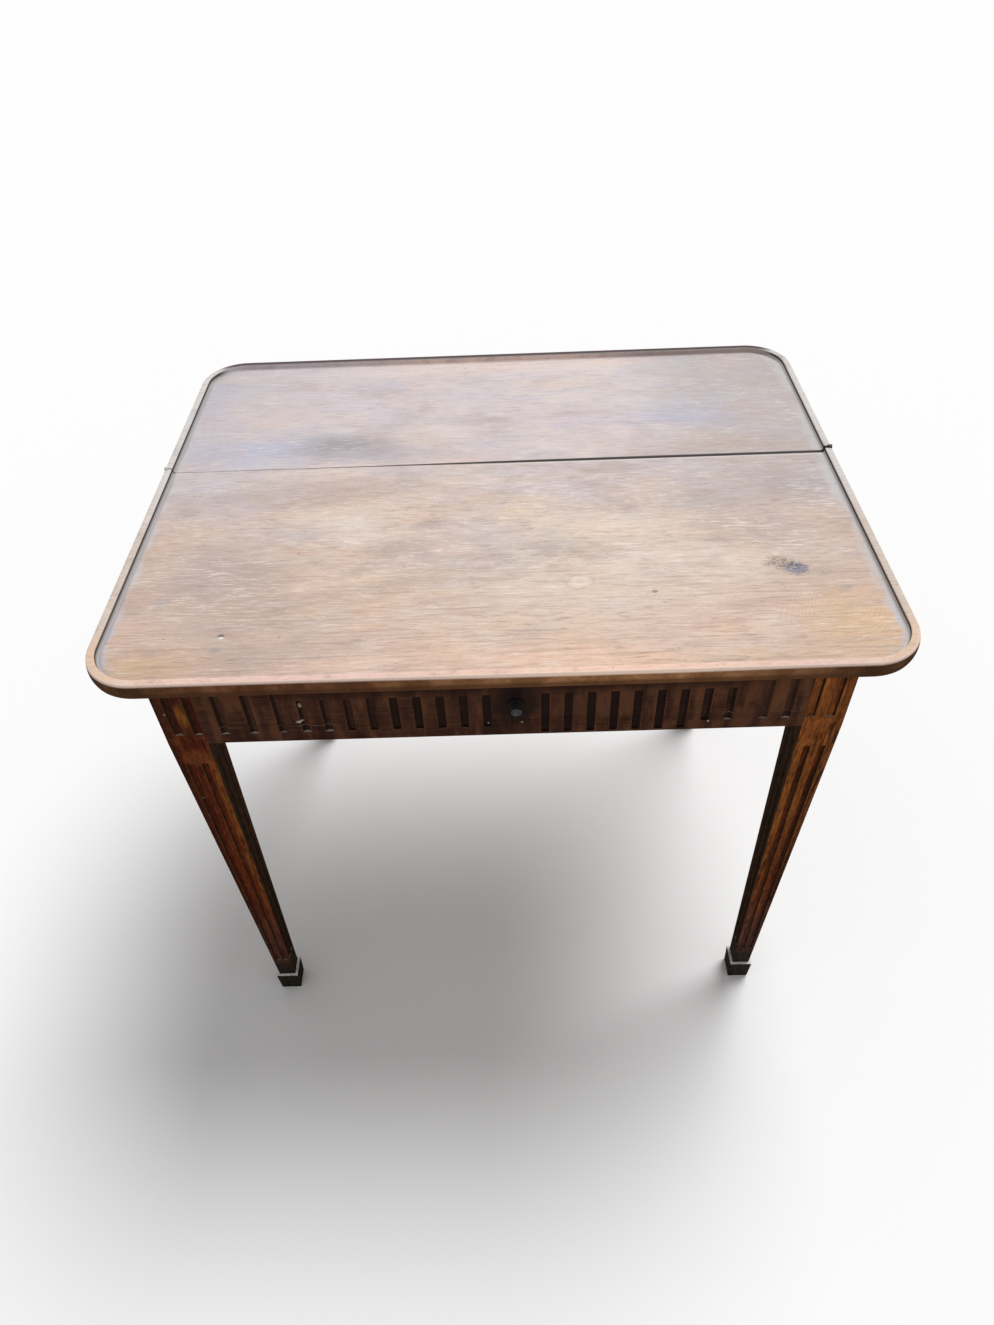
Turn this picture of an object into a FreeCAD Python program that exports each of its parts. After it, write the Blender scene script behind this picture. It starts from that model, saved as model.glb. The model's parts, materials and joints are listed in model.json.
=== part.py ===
import FreeCAD, Part
import math
import os
from types import SimpleNamespace

import Sketcher
from FreeCAD import Placement, Rotation, Vector

# Games table with a fold-over leaf, drawn in millimetres: +X to the right, +Y to the back, +Z up.
# The origin is on the floor under the middle of the open top.

SIZES = {
    # top: two leaves with a raised rim
    "table_height": 750,
    "top_width": 925,
    "front_leaf_depth": 420,
    "rear_leaf_depth": 307,
    "board_thickness": 14,
    "rim_height": 7,
    "rim_width": 10,
    "rim_slope": 2.5,
    "edge_bulge": 4.5,
    "moulding_width": 14,
    "corner_radius": 64,
    "seam_gap": 0.8,
    # leaf hinges let into the ends of the seam
    "axis_rise": 0.15,
    "hinge_plate_length": 40,
    "hinge_plate_height": 12,
    "hinge_plate_low": 4,
    "hinge_inset": 1.5,
    "eye_radius": 3.2,
    "eye_thickness": 2.2,
    "eye_gap": 0.3,
    "eye_room": 0.6,
    "hinge_pin_radius": 1.5,
    "hinge_pin_clearance": 0.08,
    # legs
    "end_overhang": 71.1,
    "front_setback": 16.2,
    "apron_height": 94,
    "leg_size": 46.5,
    "ankle_size": 25.7,
    "foot_height": 41,
    "foot_ledge": 4,
    "sole_size": 31,
    "shaft_flute_foot": 88,
    "shaft_flute_head": 38,
    "shaft_flute_bands": 5,
    "shaft_flute_width": 8.6,
    "shaft_flute_depth": 2.7,
    # flutes of the frieze
    "flute_width": 10.5,
    "flute_depth": 3.3,
    "flute_foot": 15,
    "drawer_flute_head": 26,
    "block_flute_start": 0.366,
    "block_flute_spread": 0.495,
    "block_flutes": 2,
    "drawer_flute_margin": 15,
    "knob_bay": 66,
    "drawer_flutes": 9,
    "long_flutes": 7,
    "long_flute_foot": 3,
    "left_panel_width": 104,
    "left_panel_margin": 12,
    "left_panel_pitch": 33.6,
    "left_panel_flutes": 3,
    "right_panel_width": 73,
    "right_panel_margin": 25,
    "right_panel_pitch": 26.7,
    "right_panel_flutes": 2,
    "side_flutes": 10,
    # rails and their joints
    "rail_thickness": 22,
    "tenon_thickness": 10,
    "tenon_length": 23,
    "tenon_shoulder": 17,
    "bottom_rail_height": 25,
    "front_rail_depth": 46,
    "bottom_tenon_inset": 8,
    "bottom_tenon_shoulder": 5,
    "top_rail_height": 14.4,
    "dovetail_length": 18,
    "dovetail_root": 14,
    "dovetail_flare": 3,
    "dovetail_inset": 14,
    "panel_thickness": 20,
    "inner_rail_thickness": 22,
    "housing_depth": 4,
    "block_size": 18,
    "panel_block_length": 40,
    "top_block_length": 50,
    "top_block_spread": 240,
    # rear frame that draws out under the open leaf
    "slide_travel": 200,
    "slide_clearance": 0.4,
    "closing_gap": 0.5,
    "leaf_rest_gap": 0.3,
    "bar_width": 20,
    "bar_height": 40,
    "bar_drop": 27,
    "bar_end_gap": 4,
    "bar_tenon_length": 20,
    "bar_tenon_shoulder": 7,
    "keeper_height": 18,
    "stop_peg_radius": 4,
    "stop_peg_length": 24,
    "stop_peg_reach": 12,
    "corner_block_length": 60,
    # drawer and its carriage
    "drawer_rear_gap": 18.6,
    "drawer_gap": 0.4,
    "drawer_front_thickness": 20,
    "drawer_side_thickness": 10,
    "drawer_side_drop": 7,
    "drawer_bottom_thickness": 6,
    "drawer_bottom_rise": 6,
    "drawer_groove_depth": 5,
    "drawer_back_inset": 8,
    "drawer_lap": 12,
    "drawer_tails": 2,
    "drawer_tail_margin": 16,
    "drawer_tail_root": 8,
    "drawer_tail_flare": 1.5,
    "drawer_tail_pitch": 16,
    "runner_height": 18,
    "runner_overlap": 18,
    "guide_thickness": 11,
    "guide_height": 20,
    "kicker_gap": 1,
    "stop_length": 35,
    "stop_depth": 14,
    "stop_height": 5,
    "stop_margin": 60,
    # knob
    "knob_radius": 5.8,
    "knob_reach": 16,
    "knob_neck": 5,
    "knob_crown": 2.5,
    "knob_shank_radius": 3,
    "shank_clearance": 0.1,
    "rosette_radius": 9,
    "rosette_thickness": 2,
}


class Length:
    """A length with its present value and its expression on the sheet."""

    def __init__(self, value, text):
        self.value = value
        self.text = text

    def __add__(self, other):
        other = as_length(other)
        return Length(self.value + other.value, f"({self.text} + {other.text})")

    def __radd__(self, other):
        return as_length(other) + self

    def __sub__(self, other):
        other = as_length(other)
        return Length(self.value - other.value, f"({self.text} - {other.text})")

    def __rsub__(self, other):
        return as_length(other) - self

    def __mul__(self, other):
        other = as_length(other)
        return Length(self.value * other.value, f"({self.text} * {other.text})")

    __rmul__ = __mul__

    def __truediv__(self, other):
        other = as_length(other)
        return Length(self.value / other.value, f"({self.text} / {other.text})")

    def __rtruediv__(self, other):
        return as_length(other) / self

    def __neg__(self):
        return self * -1


def as_length(size):
    return size if isinstance(size, Length) else Length(size, str(float(size)))


def root(size):
    return Length(math.sqrt(size.value), f"sqrt({size.text})")


doc = FreeCAD.newDocument("games_table")
sheet = doc.addObject("Spreadsheet::Sheet", "Sizes")
for line, (name, number) in enumerate(SIZES.items(), start=1):
    sheet.set(f"A{line}", name)
    sheet.set(f"B{line}", str(number))
    sheet.setAlias(f"B{line}", name)
doc.recompute()

S = SimpleNamespace(**{name: Length(number, "Sizes." + name) for name, number in SIZES.items()})
NODES = []

# Levels and lines that the pieces share.
RIM_TOP = S.board_thickness + S.rim_height
UNDERSIDE = S.table_height - RIM_TOP
APRON_FOOT = UNDERSIDE - S.apron_height
FRONT = (S.front_leaf_depth + S.rear_leaf_depth) / -2
SEAM = FRONT + S.front_leaf_depth
BACK = SEAM + S.rear_leaf_depth
HALF_TOP = S.top_width / 2
HALF_SEAM = S.seam_gap / 2
FOLD_AXIS = S.table_height + S.axis_rise
PLATE_THICKNESS = S.eye_thickness * 2 + S.eye_gap
PLATE_TOP = S.hinge_plate_low + S.hinge_plate_height
PLATE_OUTER = HALF_TOP - S.hinge_inset

HALF_FRAME = HALF_TOP - S.end_overhang
LEG_INNER = HALF_FRAME - S.leg_size
LEG_FRONT = FRONT + S.front_setback
LEG_BACK = LEG_FRONT + S.leg_size
CLOSED_BACK = SEAM - S.front_setback
RAIL_END = CLOSED_BACK - S.leg_size - S.closing_gap
DRAWN_BACK = CLOSED_BACK + S.slide_travel
DRAWN_FRONT = DRAWN_BACK - S.leg_size
REAR_TOP = UNDERSIDE - S.leaf_rest_gap
RAIL_INNER = HALF_FRAME - S.rail_thickness
INNER_RAIL_FRONT = RAIL_END - S.inner_rail_thickness

BAR_OUTER = RAIL_INNER - S.slide_clearance
BAR_INNER = BAR_OUTER - S.bar_width
BAR_TOP = UNDERSIDE - S.bar_drop
BAR_FOOT = BAR_TOP - S.bar_height
BAR_LENGTH = DRAWN_FRONT - LEG_BACK - S.slide_travel - S.bar_end_gap
BAR_FRONT = DRAWN_FRONT - BAR_LENGTH

RUN_LEVEL = APRON_FOOT + S.bottom_rail_height
TOP_RAIL_FOOT = UNDERSIDE - S.top_rail_height
DRAWER_LEFT = S.left_panel_width + S.drawer_gap - LEG_INNER
DRAWER_RIGHT = LEG_INNER - S.right_panel_width - S.drawer_gap
DRAWER_WIDTH = DRAWER_RIGHT - DRAWER_LEFT
DRAWER_MIDDLE = (DRAWER_LEFT + DRAWER_RIGHT) / 2
DRAWER_FOOT = RUN_LEVEL + S.drawer_gap
DRAWER_TOP = TOP_RAIL_FOOT - S.drawer_gap
DRAWER_SIDE_HEIGHT = DRAWER_TOP - DRAWER_FOOT - S.drawer_side_drop
FRONT_REAR = LEG_FRONT + S.drawer_front_thickness


def flute_radius(width, depth):
    return (width * width / 4 + depth * depth) / (depth * 2)


FLUTE_RADIUS = flute_radius(S.flute_width, S.flute_depth)
FLUTE_LIFT = FLUTE_RADIUS - S.flute_depth
SHAFT_FLUTE_RADIUS = flute_radius(S.shaft_flute_width, S.shaft_flute_depth)
SHAFT_FLUTE_LIFT = SHAFT_FLUTE_RADIUS - S.shaft_flute_depth
FLUTE_FOOT = APRON_FOOT + S.flute_foot
LONG_FLUTE_FOOT = APRON_FOOT + S.long_flute_foot
FLUTE_HEAD = TOP_RAIL_FOOT
DRAWER_FLUTE_HEAD = UNDERSIDE - S.drawer_flute_head


def bind(thing, prop, size):
    thing.setExpression(prop, as_length(size).text)


def place(thing, x, y, z, turn=0, axis=Vector(0, 0, 1)):
    """Puts a piece's own origin at a point, turned by whole quarter turns."""
    thing.Placement = Placement(Vector(), Rotation(axis, turn))
    for letter, size in zip("xyz", (x, y, z)):
        bind(thing, "Placement.Base." + letter, size)


def keep(thing):
    NODES.append(thing)
    return thing


def named(kind, label):
    thing = doc.addObject(kind, label)
    thing.Label = label
    return thing


# Boards, pins and joints cut with plain solids.

def board(label, low, high):
    """A sawn board between two corners."""
    box = named("Part::Box", label)
    for prop, start, end in zip(("Length", "Width", "Height"), low, high):
        bind(box, prop, end - start)
    place(box, *low)
    return box


def rod(label, radius, length, x, y, z, along):
    """A round rod that starts at a point and runs along an axis."""
    turns = {"+X": (90, Vector(0, 1, 0)), "-Y": (90, Vector(1, 0, 0))}
    cylinder = named("Part::Cylinder", label)
    bind(cylinder, "Radius", radius)
    bind(cylinder, "Height", length)
    place(cylinder, x, y, z, *turns[along])
    return cylinder


def joined(label, pieces):
    whole = named("Part::MultiFuse", label)
    whole.Shapes = pieces
    return whole


def less(label, piece, tool):
    rest = named("Part::Cut", label)
    rest.Base = piece
    rest.Tool = tool
    return rest


def group(label, pieces):
    several = named("Part::Compound", label)
    several.Links = pieces
    return several


def across(side, inner, outer):
    """The x range between two distances from the middle, on one side."""
    return (-outer, -inner) if side == "left" else (inner, outer)


# Worked pieces: sketches, pads, pockets, tapers and turned grooves.

def new_body(label):
    return named("PartDesign::Body", label)


def origin_of(body, role):
    return next(item for item in body.Origin.OriginFeatures if item.Role == role)


def attach(body, thing, role, x=0, y=0, lift=0):
    thing.AttachmentSupport = (origin_of(body, role), [""])
    thing.MapMode = "FlatFace"
    for letter, size in zip("xyz", (x, y, lift)):
        bind(thing, "AttachmentOffset.Base." + letter, size)
    return thing


def sketch_on(body, role, x=0, y=0, lift=0):
    return attach(body, body.newObject("Sketcher::SketchObject", body.Label + "_sketch"), role, x, y, lift)


def pin_point(sketch, geometry, end, point):
    for kind, letter, size in zip(("DistanceX", "DistanceY"), "xy", point):
        size = as_length(size)
        index = sketch.addConstraint(Sketcher.Constraint(kind, -1, 1, geometry, end, size.value))
        bind(sketch, f"Constraints[{index}]", size)


def arc_between(start, end, radius, side):
    """The short arc from start to end, with its centre to the left or the right of the way."""
    way = end - start
    half = way.Length / 2
    reach = math.sqrt(max(radius * radius - half * half, 0))
    normal = Vector(-way.y, way.x, 0).normalize() * (1 if side == "left" else -1)
    centre = (start + end) / 2 + normal * reach
    first, last = (start, end) if side == "left" else (end, start)
    angles = [math.atan2(point.y - centre.y, point.x - centre.x) for point in (first, last)]
    return Part.ArcOfCircle(Part.Circle(centre, Vector(0, 0, 1), radius), *angles)


def draw(sketch, points, arcs=None):
    """A closed outline. arcs gives the radius and side of each round stretch by its first point."""
    arcs = arcs or {}
    places = [Vector(as_length(x).value, as_length(y).value, 0) for x, y in points]
    stretches = []
    for number, start in enumerate(places):
        end = places[(number + 1) % len(places)]
        if number in arcs:
            radius, side = arcs[number]
            geometry = sketch.addGeometry(arc_between(start, end, radius.value, side))
            stretches.append((geometry, 1, 2) if side == "left" else (geometry, 2, 1))
        else:
            stretches.append((sketch.addGeometry(Part.LineSegment(start, end)), 1, 2))
    for number, (geometry, first, last) in enumerate(stretches):
        before, _, its_last = stretches[number - 1]
        sketch.addConstraint(Sketcher.Constraint("Coincident", before, its_last, geometry, first))
        pin_point(sketch, geometry, first, points[number])
    for number, (radius, side) in arcs.items():
        index = sketch.addConstraint(Sketcher.Constraint("Radius", stretches[number][0], radius.value))
        bind(sketch, f"Constraints[{index}]", radius)
    return sketch


def rectangle(sketch, x0, y0, x1, y1):
    return draw(sketch, [(x0, y0), (x1, y0), (x1, y1), (x0, y1)])


def square(sketch, size):
    return rectangle(sketch, size / -2, size / -2, size / 2, size / 2)


def circle(sketch, radius):
    ring = sketch.addGeometry(Part.Circle(Vector(), Vector(0, 0, 1), radius.value))
    sketch.addConstraint(Sketcher.Constraint("Coincident", ring, 3, -1, 1))
    index = sketch.addConstraint(Sketcher.Constraint("Radius", ring, radius.value))
    bind(sketch, f"Constraints[{index}]", radius)
    return sketch


def feature(body, kind, sketch, length=None, reverse=False):
    made = body.newObject("PartDesign::" + kind, f"{body.Label}_{kind}")
    made.Profile = sketch
    made.Reversed = reverse
    if length is not None:
        bind(made, "Length", length)
    return made


def taper(body, low, low_size, high, high_size):
    """A square length that widens or narrows from one level to another."""
    wedge = body.newObject("PartDesign::AdditiveWedge", body.Label + "_taper")
    attach(body, wedge, "XZ_Plane")
    bind(wedge, "Ymin", low)
    bind(wedge, "Ymax", high)
    for axis in "XZ":
        bind(wedge, axis + "min", low_size / -2)
        bind(wedge, axis + "max", low_size / 2)
        bind(wedge, axis + "2min", high_size / -2)
        bind(wedge, axis + "2max", high_size / 2)
    return wedge


def turned(body, kind, sketch, angle):
    made = feature(body, kind, sketch)
    made.ReferenceAxis = (sketch, ["V_Axis"])
    made.Angle = angle
    return made


def row(body, original, sketch, pitch, count):
    made = body.newObject("PartDesign::LinearPattern", body.Label + "_row")
    made.Originals = [original]
    made.Direction = (sketch, ["H_Axis"])
    bind(made, "Length", pitch * (count - 1))
    bind(made, "Occurrences", count)
    body.Tip = made


def flute_row(body, role, first, lift, floor, pitch, count, foot=FLUTE_FOOT, head=FLUTE_HEAD):
    """A row of square-stopped flutes in an upright face, each a groove turned about its own axis.

    floor is the level of the body's own origin."""
    sketch = sketch_on(body, role, x=first, lift=lift)
    rectangle(sketch, 0, foot - floor, FLUTE_RADIUS, head - floor)
    row(body, turned(body, "Groove", sketch, 360), sketch, pitch, count)


# Legs: a square block, a tapered fluted shaft and a block foot with a ledge.

def shaft_width(level):
    rise = (level - S.foot_height) / (APRON_FOOT - S.foot_height)
    return S.ankle_size + (S.leg_size - S.ankle_size) * rise


def shaft_flutes(body):
    """Two flutes in each face, leaning in as the faces taper."""
    low, high = S.shaft_flute_foot, APRON_FOOT - S.shaft_flute_head
    narrow, wide = shaft_width(low), shaft_width(high)
    reach = high - low
    lean = (wide - narrow) / reach * root(0.25 + 1 / (S.shaft_flute_bands * S.shaft_flute_bands))
    cuts = []
    for side in (-1, 1):
        spot = narrow / S.shaft_flute_bands * side
        sketch = sketch_on(body, "XZ_Plane", x=spot, y=low, lift=narrow / 2 + SHAFT_FLUTE_LIFT)
        across_face = Vector(0.5, 0, -side / S.shaft_flute_bands.value)
        turn = Rotation(across_face, math.degrees(math.atan(lean.value)))
        sketch.AttachmentOffset = Placement(Vector(), turn)
        sketch.setExpression("AttachmentOffset.Rotation.Angle", f"atan({lean.text})")
        rectangle(sketch, 0, 0, SHAFT_FLUTE_RADIUS, reach)
        cuts.append(turned(body, "Groove", sketch, 360))
    faces = body.newObject("PartDesign::PolarPattern", body.Label + "_faces")
    faces.Originals = cuts
    faces.Axis = (origin_of(body, "Z_Axis"), [""])
    faces.Angle = 360
    faces.Occurrences = 4
    body.Tip = faces


def face_sketch(body, face):
    """A sketch on the leg's +X or +Y face. Its first axis runs along the face, its second up."""
    if face == "+X":
        return sketch_on(body, "YZ_Plane", lift=S.leg_size / 2)
    return sketch_on(body, "XZ_Plane", lift=S.leg_size / -2)


def mortise(body, face, inset, low, high, depth):
    start = S.leg_size / -2 + inset
    sketch = rectangle(face_sketch(body, face), start, low, start + S.tenon_thickness, high)
    feature(body, "Pocket", sketch, depth, reverse=face == "+Y")


def dovetail_plan(root, tip):
    """Corners of the top rail's dovetail, from its root line to its tip line."""
    near = S.dovetail_inset
    far = near + S.dovetail_root
    return [(root, near), (tip, near - S.dovetail_flare), (tip, far + S.dovetail_flare), (root, far)]


def dovetail_slot(body, face):
    half = S.leg_size / 2
    corners = [(along, inset - half) for along, inset in dovetail_plan(half, half - S.dovetail_length)]
    if face == "+Y":
        corners = [(y, x) for x, y in corners]
    sketch = draw(sketch_on(body, "XY_Plane", lift=UNDERSIDE), corners)
    feature(body, "Pocket", sketch, S.top_rail_height)


def leg(label, x, y, turn, top):
    """A leg whose outer corner is at -X, -Y before it is turned."""
    body = keep(new_body(label))
    half = S.leg_size / 2
    feature(body, "Pad", square(sketch_on(body, "XY_Plane", lift=APRON_FOOT), S.leg_size), top - APRON_FOOT)
    taper(body, S.foot_height, S.ankle_size, APRON_FOOT, S.leg_size)
    taper(body, as_length(0), S.sole_size, S.foot_height, S.ankle_size + S.foot_ledge * 2)
    shaft_flutes(body)
    first = S.leg_size * S.block_flute_start - half
    pitch = S.leg_size * S.block_flute_spread
    flute_row(body, "XZ_Plane", first, half + FLUTE_LIFT, 0, pitch, S.block_flutes)
    flute_row(body, "YZ_Plane", first, -(half + FLUTE_LIFT), 0, pitch, S.block_flutes)
    place(body, x, y, 0, turn)
    return body


RAIL_TENON_INSET = (S.rail_thickness - S.tenon_thickness) / 2
BAR_TENON_INSET = S.rail_thickness + S.slide_clearance + (S.bar_width - S.tenon_thickness) / 2
LEG_CENTRE = HALF_FRAME - S.leg_size / 2


def front_leg(side, turn, rail_face, front_face):
    middle = LEG_CENTRE if side == "right" else -LEG_CENTRE
    body = leg(f"front_{side}_leg", middle, LEG_FRONT + S.leg_size / 2, turn, UNDERSIDE)
    mortise(body, rail_face, RAIL_TENON_INSET, APRON_FOOT + S.tenon_shoulder, UNDERSIDE - S.tenon_shoulder,
            S.tenon_length)
    mortise(body, front_face, S.bottom_tenon_inset, APRON_FOOT + S.bottom_tenon_shoulder,
            RUN_LEVEL - S.bottom_tenon_shoulder, S.tenon_length)
    dovetail_slot(body, front_face)


def rear_leg(side, turn, bar_face, rail_face):
    middle = LEG_CENTRE if side == "right" else -LEG_CENTRE
    body = leg(f"rear_{side}_leg", middle, DRAWN_BACK - S.leg_size / 2, turn, REAR_TOP)
    mortise(body, rail_face, RAIL_TENON_INSET, APRON_FOOT + S.tenon_shoulder, UNDERSIDE - S.tenon_shoulder,
            S.tenon_length)
    mortise(body, bar_face, BAR_TENON_INSET, BAR_FOOT + S.bar_tenon_shoulder, BAR_TOP - S.bar_tenon_shoulder,
            S.bar_tenon_length)


front_leg("left", 0, "+Y", "+X")
front_leg("right", 90, "+X", "+Y")
rear_leg("left", -90, "+X", "+Y")
rear_leg("right", 180, "+Y", "+X")


# Rails. Each is drawn with its outer face on its own XZ plane and its foot on its XY plane.

def rail_tenon(body, start, end):
    low = S.tenon_shoulder
    sketch = rectangle(sketch_on(body, "XY_Plane", lift=low), start, RAIL_TENON_INSET, end,
                       RAIL_TENON_INSET + S.tenon_thickness)
    feature(body, "Pad", sketch, S.apron_height - low * 2)


def side_rail(side):
    body = keep(new_body(f"{side}_side_rail"))
    length = RAIL_END - LEG_BACK
    base = rectangle(sketch_on(body, "XY_Plane"), 0, 0, length, S.rail_thickness)
    feature(body, "Pad", base, S.apron_height)
    back_start, back_end = (0, S.inner_rail_thickness)
    if side == "right":
        rail_tenon(body, -S.tenon_length, 0)
        back_start, back_end = (length - S.inner_rail_thickness, length)
        place(body, HALF_FRAME, LEG_BACK, APRON_FOOT, 90)
    else:
        rail_tenon(body, length, length + S.tenon_length)
        place(body, -HALF_FRAME, RAIL_END, APRON_FOOT, -90)
    inner_face = sketch_on(body, "XZ_Plane", lift=-S.rail_thickness)
    housing = rectangle(inner_face, back_start, 0, back_end, S.apron_height)
    feature(body, "Pocket", housing, S.housing_depth, reverse=True)
    pitch = length / (S.side_flutes + 1)
    flute_row(body, "XZ_Plane", pitch, FLUTE_LIFT, APRON_FOOT, pitch, S.side_flutes)


for hand in ("left", "right"):
    side_rail(hand)


LEFT_PANEL_END = DRAWER_LEFT - S.drawer_gap
RIGHT_PANEL_START = DRAWER_RIGHT + S.drawer_gap
LEFT_ROW = LEFT_PANEL_END - S.left_panel_margin - S.left_panel_pitch * (S.left_panel_flutes - 1)
RIGHT_ROW = RIGHT_PANEL_START + S.right_panel_margin
DRAWER_ROW_SPAN = (DRAWER_WIDTH - S.knob_bay) / 2 - S.drawer_flute_margin
DRAWER_FLUTE_PITCH = DRAWER_ROW_SPAN / (S.drawer_flutes - 1)
DRAWER_ROWS = (DRAWER_LEFT + S.drawer_flute_margin, DRAWER_MIDDLE + S.knob_bay / 2)


def bottom_front_rail():
    """The rail under the drawer, with the feet of all the flutes above it. Some run lower."""
    body = keep(new_body("bottom_front_rail"))
    length = LEG_INNER * 2
    base = rectangle(sketch_on(body, "XY_Plane"), 0, 0, length, S.front_rail_depth)
    feature(body, "Pad", base, S.bottom_rail_height)
    tenon_plane = sketch_on(body, "XY_Plane", lift=S.bottom_tenon_shoulder)
    tenon_back = S.bottom_tenon_inset + S.tenon_thickness
    tenon_end = length + S.tenon_length
    tenons = rectangle(tenon_plane, -S.tenon_length, S.bottom_tenon_inset, tenon_end, tenon_back)
    feature(body, "Pad", tenons, S.bottom_rail_height - S.bottom_tenon_shoulder * 2)
    pitch = DRAWER_FLUTE_PITCH
    rows = [
        (LEFT_ROW, S.left_panel_pitch, S.left_panel_flutes, FLUTE_FOOT),
        (DRAWER_ROWS[0], pitch, S.drawer_flutes, FLUTE_FOOT),
        (DRAWER_ROWS[1], pitch, S.long_flutes, LONG_FLUTE_FOOT),
        (DRAWER_ROWS[1] + pitch * S.long_flutes, pitch, S.drawer_flutes - S.long_flutes, FLUTE_FOOT),
        (RIGHT_ROW, S.right_panel_pitch, S.right_panel_flutes, FLUTE_FOOT),
    ]
    for start, pitch, count, foot in rows:
        flute_row(body, "XZ_Plane", start + LEG_INNER, FLUTE_LIFT, APRON_FOOT, pitch, count, foot)
    place(body, -LEG_INNER, LEG_FRONT, APRON_FOOT)


def top_front_rail():
    """The rail above the drawer, dovetailed down into both legs."""
    body = keep(new_body("top_front_rail"))
    length = LEG_INNER * 2
    right_tail = dovetail_plan(length, length + S.dovetail_length)
    left_tail = dovetail_plan(0, -S.dovetail_length)
    outline = [(0, 0), (length, 0)] + right_tail
    outline += [(length, S.front_rail_depth), (0, S.front_rail_depth)] + left_tail[::-1]
    feature(body, "Pad", draw(sketch_on(body, "XY_Plane"), outline), S.top_rail_height)
    place(body, -LEG_INNER, LEG_FRONT, TOP_RAIL_FOOT)


def frieze_panel(side, start, end, first, pitch, count):
    body = keep(new_body(f"{side}_frieze_panel"))
    base = rectangle(sketch_on(body, "XY_Plane"), 0, 0, end - start, S.panel_thickness)
    feature(body, "Pad", base, TOP_RAIL_FOOT - RUN_LEVEL)
    flute_row(body, "XZ_Plane", first - start, FLUTE_LIFT, RUN_LEVEL, pitch, count)
    place(body, start, LEG_FRONT, RUN_LEVEL)


def rear_rail():
    body = keep(new_body("rear_rail"))
    length = LEG_INNER * 2
    base = rectangle(sketch_on(body, "XY_Plane"), 0, 0, length, S.rail_thickness)
    feature(body, "Pad", base, REAR_TOP - APRON_FOOT)
    rail_tenon(body, -S.tenon_length, length + S.tenon_length)
    place(body, LEG_INNER, DRAWN_BACK, APRON_FOOT, 180)


bottom_front_rail()
top_front_rail()
frieze_panel("left", -LEG_INNER, LEFT_PANEL_END, LEFT_ROW, S.left_panel_pitch, S.left_panel_flutes)
frieze_panel("right", RIGHT_PANEL_START, LEG_INNER, RIGHT_ROW, S.right_panel_pitch, S.right_panel_flutes)
rear_rail()


def inner_back_rail():
    """Closes the fixed frame, housed in the side rails and notched for the slide bars."""
    reach = RAIL_INNER + S.housing_depth
    plank = board("inner_back_plank", (-reach, INNER_RAIL_FRONT, APRON_FOOT), (reach, RAIL_END, UNDERSIDE))
    low = BAR_FOOT - S.slide_clearance
    high = BAR_TOP + S.slide_clearance
    notches = []
    for side in ("left", "right"):
        start, end = across(side, BAR_INNER - S.slide_clearance, reach)
        notches.append(board(f"{side}_bar_notch", (start, INNER_RAIL_FRONT, low), (end, RAIL_END, high)))
    keep(less("inner_back_rail", plank, joined("bar_notches", notches)))


inner_back_rail()


# Slide bars of the rear frame, and the keepers that they run between.

def slide_bar(side):
    start, end = across(side, BAR_INNER, BAR_OUTER)
    bar = board(f"{side}_bar_stick", (start, BAR_FRONT, BAR_FOOT), (end, DRAWN_FRONT, BAR_TOP))
    inset = (S.bar_width - S.tenon_thickness) / 2
    tenon = board(f"{side}_bar_tenon", (start + inset, DRAWN_FRONT, BAR_FOOT + S.bar_tenon_shoulder),
                  (end - inset, DRAWN_FRONT + S.bar_tenon_length, BAR_TOP - S.bar_tenon_shoulder))
    hole = stop_peg(side, f"{side}_stop_hole")
    keep(less(f"{side}_slide_bar", joined(f"{side}_bar_blank", [bar, tenon]), hole))


def stop_peg(side, label):
    """A peg through the bar that meets the inner back rail when the frame is drawn out."""
    back = INNER_RAIL_FRONT - S.slide_clearance - S.stop_peg_radius
    inner = BAR_INNER - S.stop_peg_reach
    start, end = across(side, inner, inner + S.stop_peg_length)
    return rod(label, S.stop_peg_radius, S.stop_peg_length, start, back, (BAR_FOOT + BAR_TOP) / 2, "+X")


def keeper(side, level, low, high):
    width = S.bar_width + S.slide_clearance
    start, end = across(side, RAIL_INNER - width, RAIL_INNER)
    keep(board(f"{side}_{level}_keeper", (start, LEG_BACK, low), (end, INNER_RAIL_FRONT, high)))


for hand in ("left", "right"):
    slide_bar(hand)
    keeper(hand, "lower", BAR_FOOT - S.slide_clearance - S.keeper_height, BAR_FOOT - S.slide_clearance)
    keeper(hand, "upper", BAR_TOP + S.slide_clearance, UNDERSIDE)
keep(group("slide_stop_pegs", [stop_peg(hand, f"{hand}_stop_peg") for hand in ("left", "right")]))


def rear_corner_block(side):
    start, end = across(side, LEG_INNER - S.block_size, LEG_INNER)
    rail_front = DRAWN_BACK - S.rail_thickness
    foot = REAR_TOP - S.corner_block_length
    low_corner = (start, rail_front - S.block_size, foot)
    return board(f"{side}_corner_block", low_corner, (end, rail_front, REAR_TOP))


keep(group("rear_corner_blocks", [rear_corner_block(hand) for hand in ("left", "right")]))


def panel_block(side):
    start, end = across(side, LEG_INNER - S.block_size, LEG_INNER)
    back = LEG_FRONT + S.panel_thickness
    return board(f"{side}_panel_block", (start, back, RUN_LEVEL),
                 (end, back + S.block_size, RUN_LEVEL + S.panel_block_length))


def top_block(side):
    middle = S.top_block_spread / 2
    start, end = across(side, middle - S.top_block_length / 2, middle + S.top_block_length / 2)
    return board(f"{side}_top_block", (start, INNER_RAIL_FRONT - S.block_size, UNDERSIDE - S.block_size),
                 (end, INNER_RAIL_FRONT, UNDERSIDE))


keep(group("glue_blocks", [shape(hand) for shape in (panel_block, top_block) for hand in ("left", "right")]))


# Drawer carriage: runners, guides and kickers between the front rails and the inner back rail, and stops.

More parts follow.
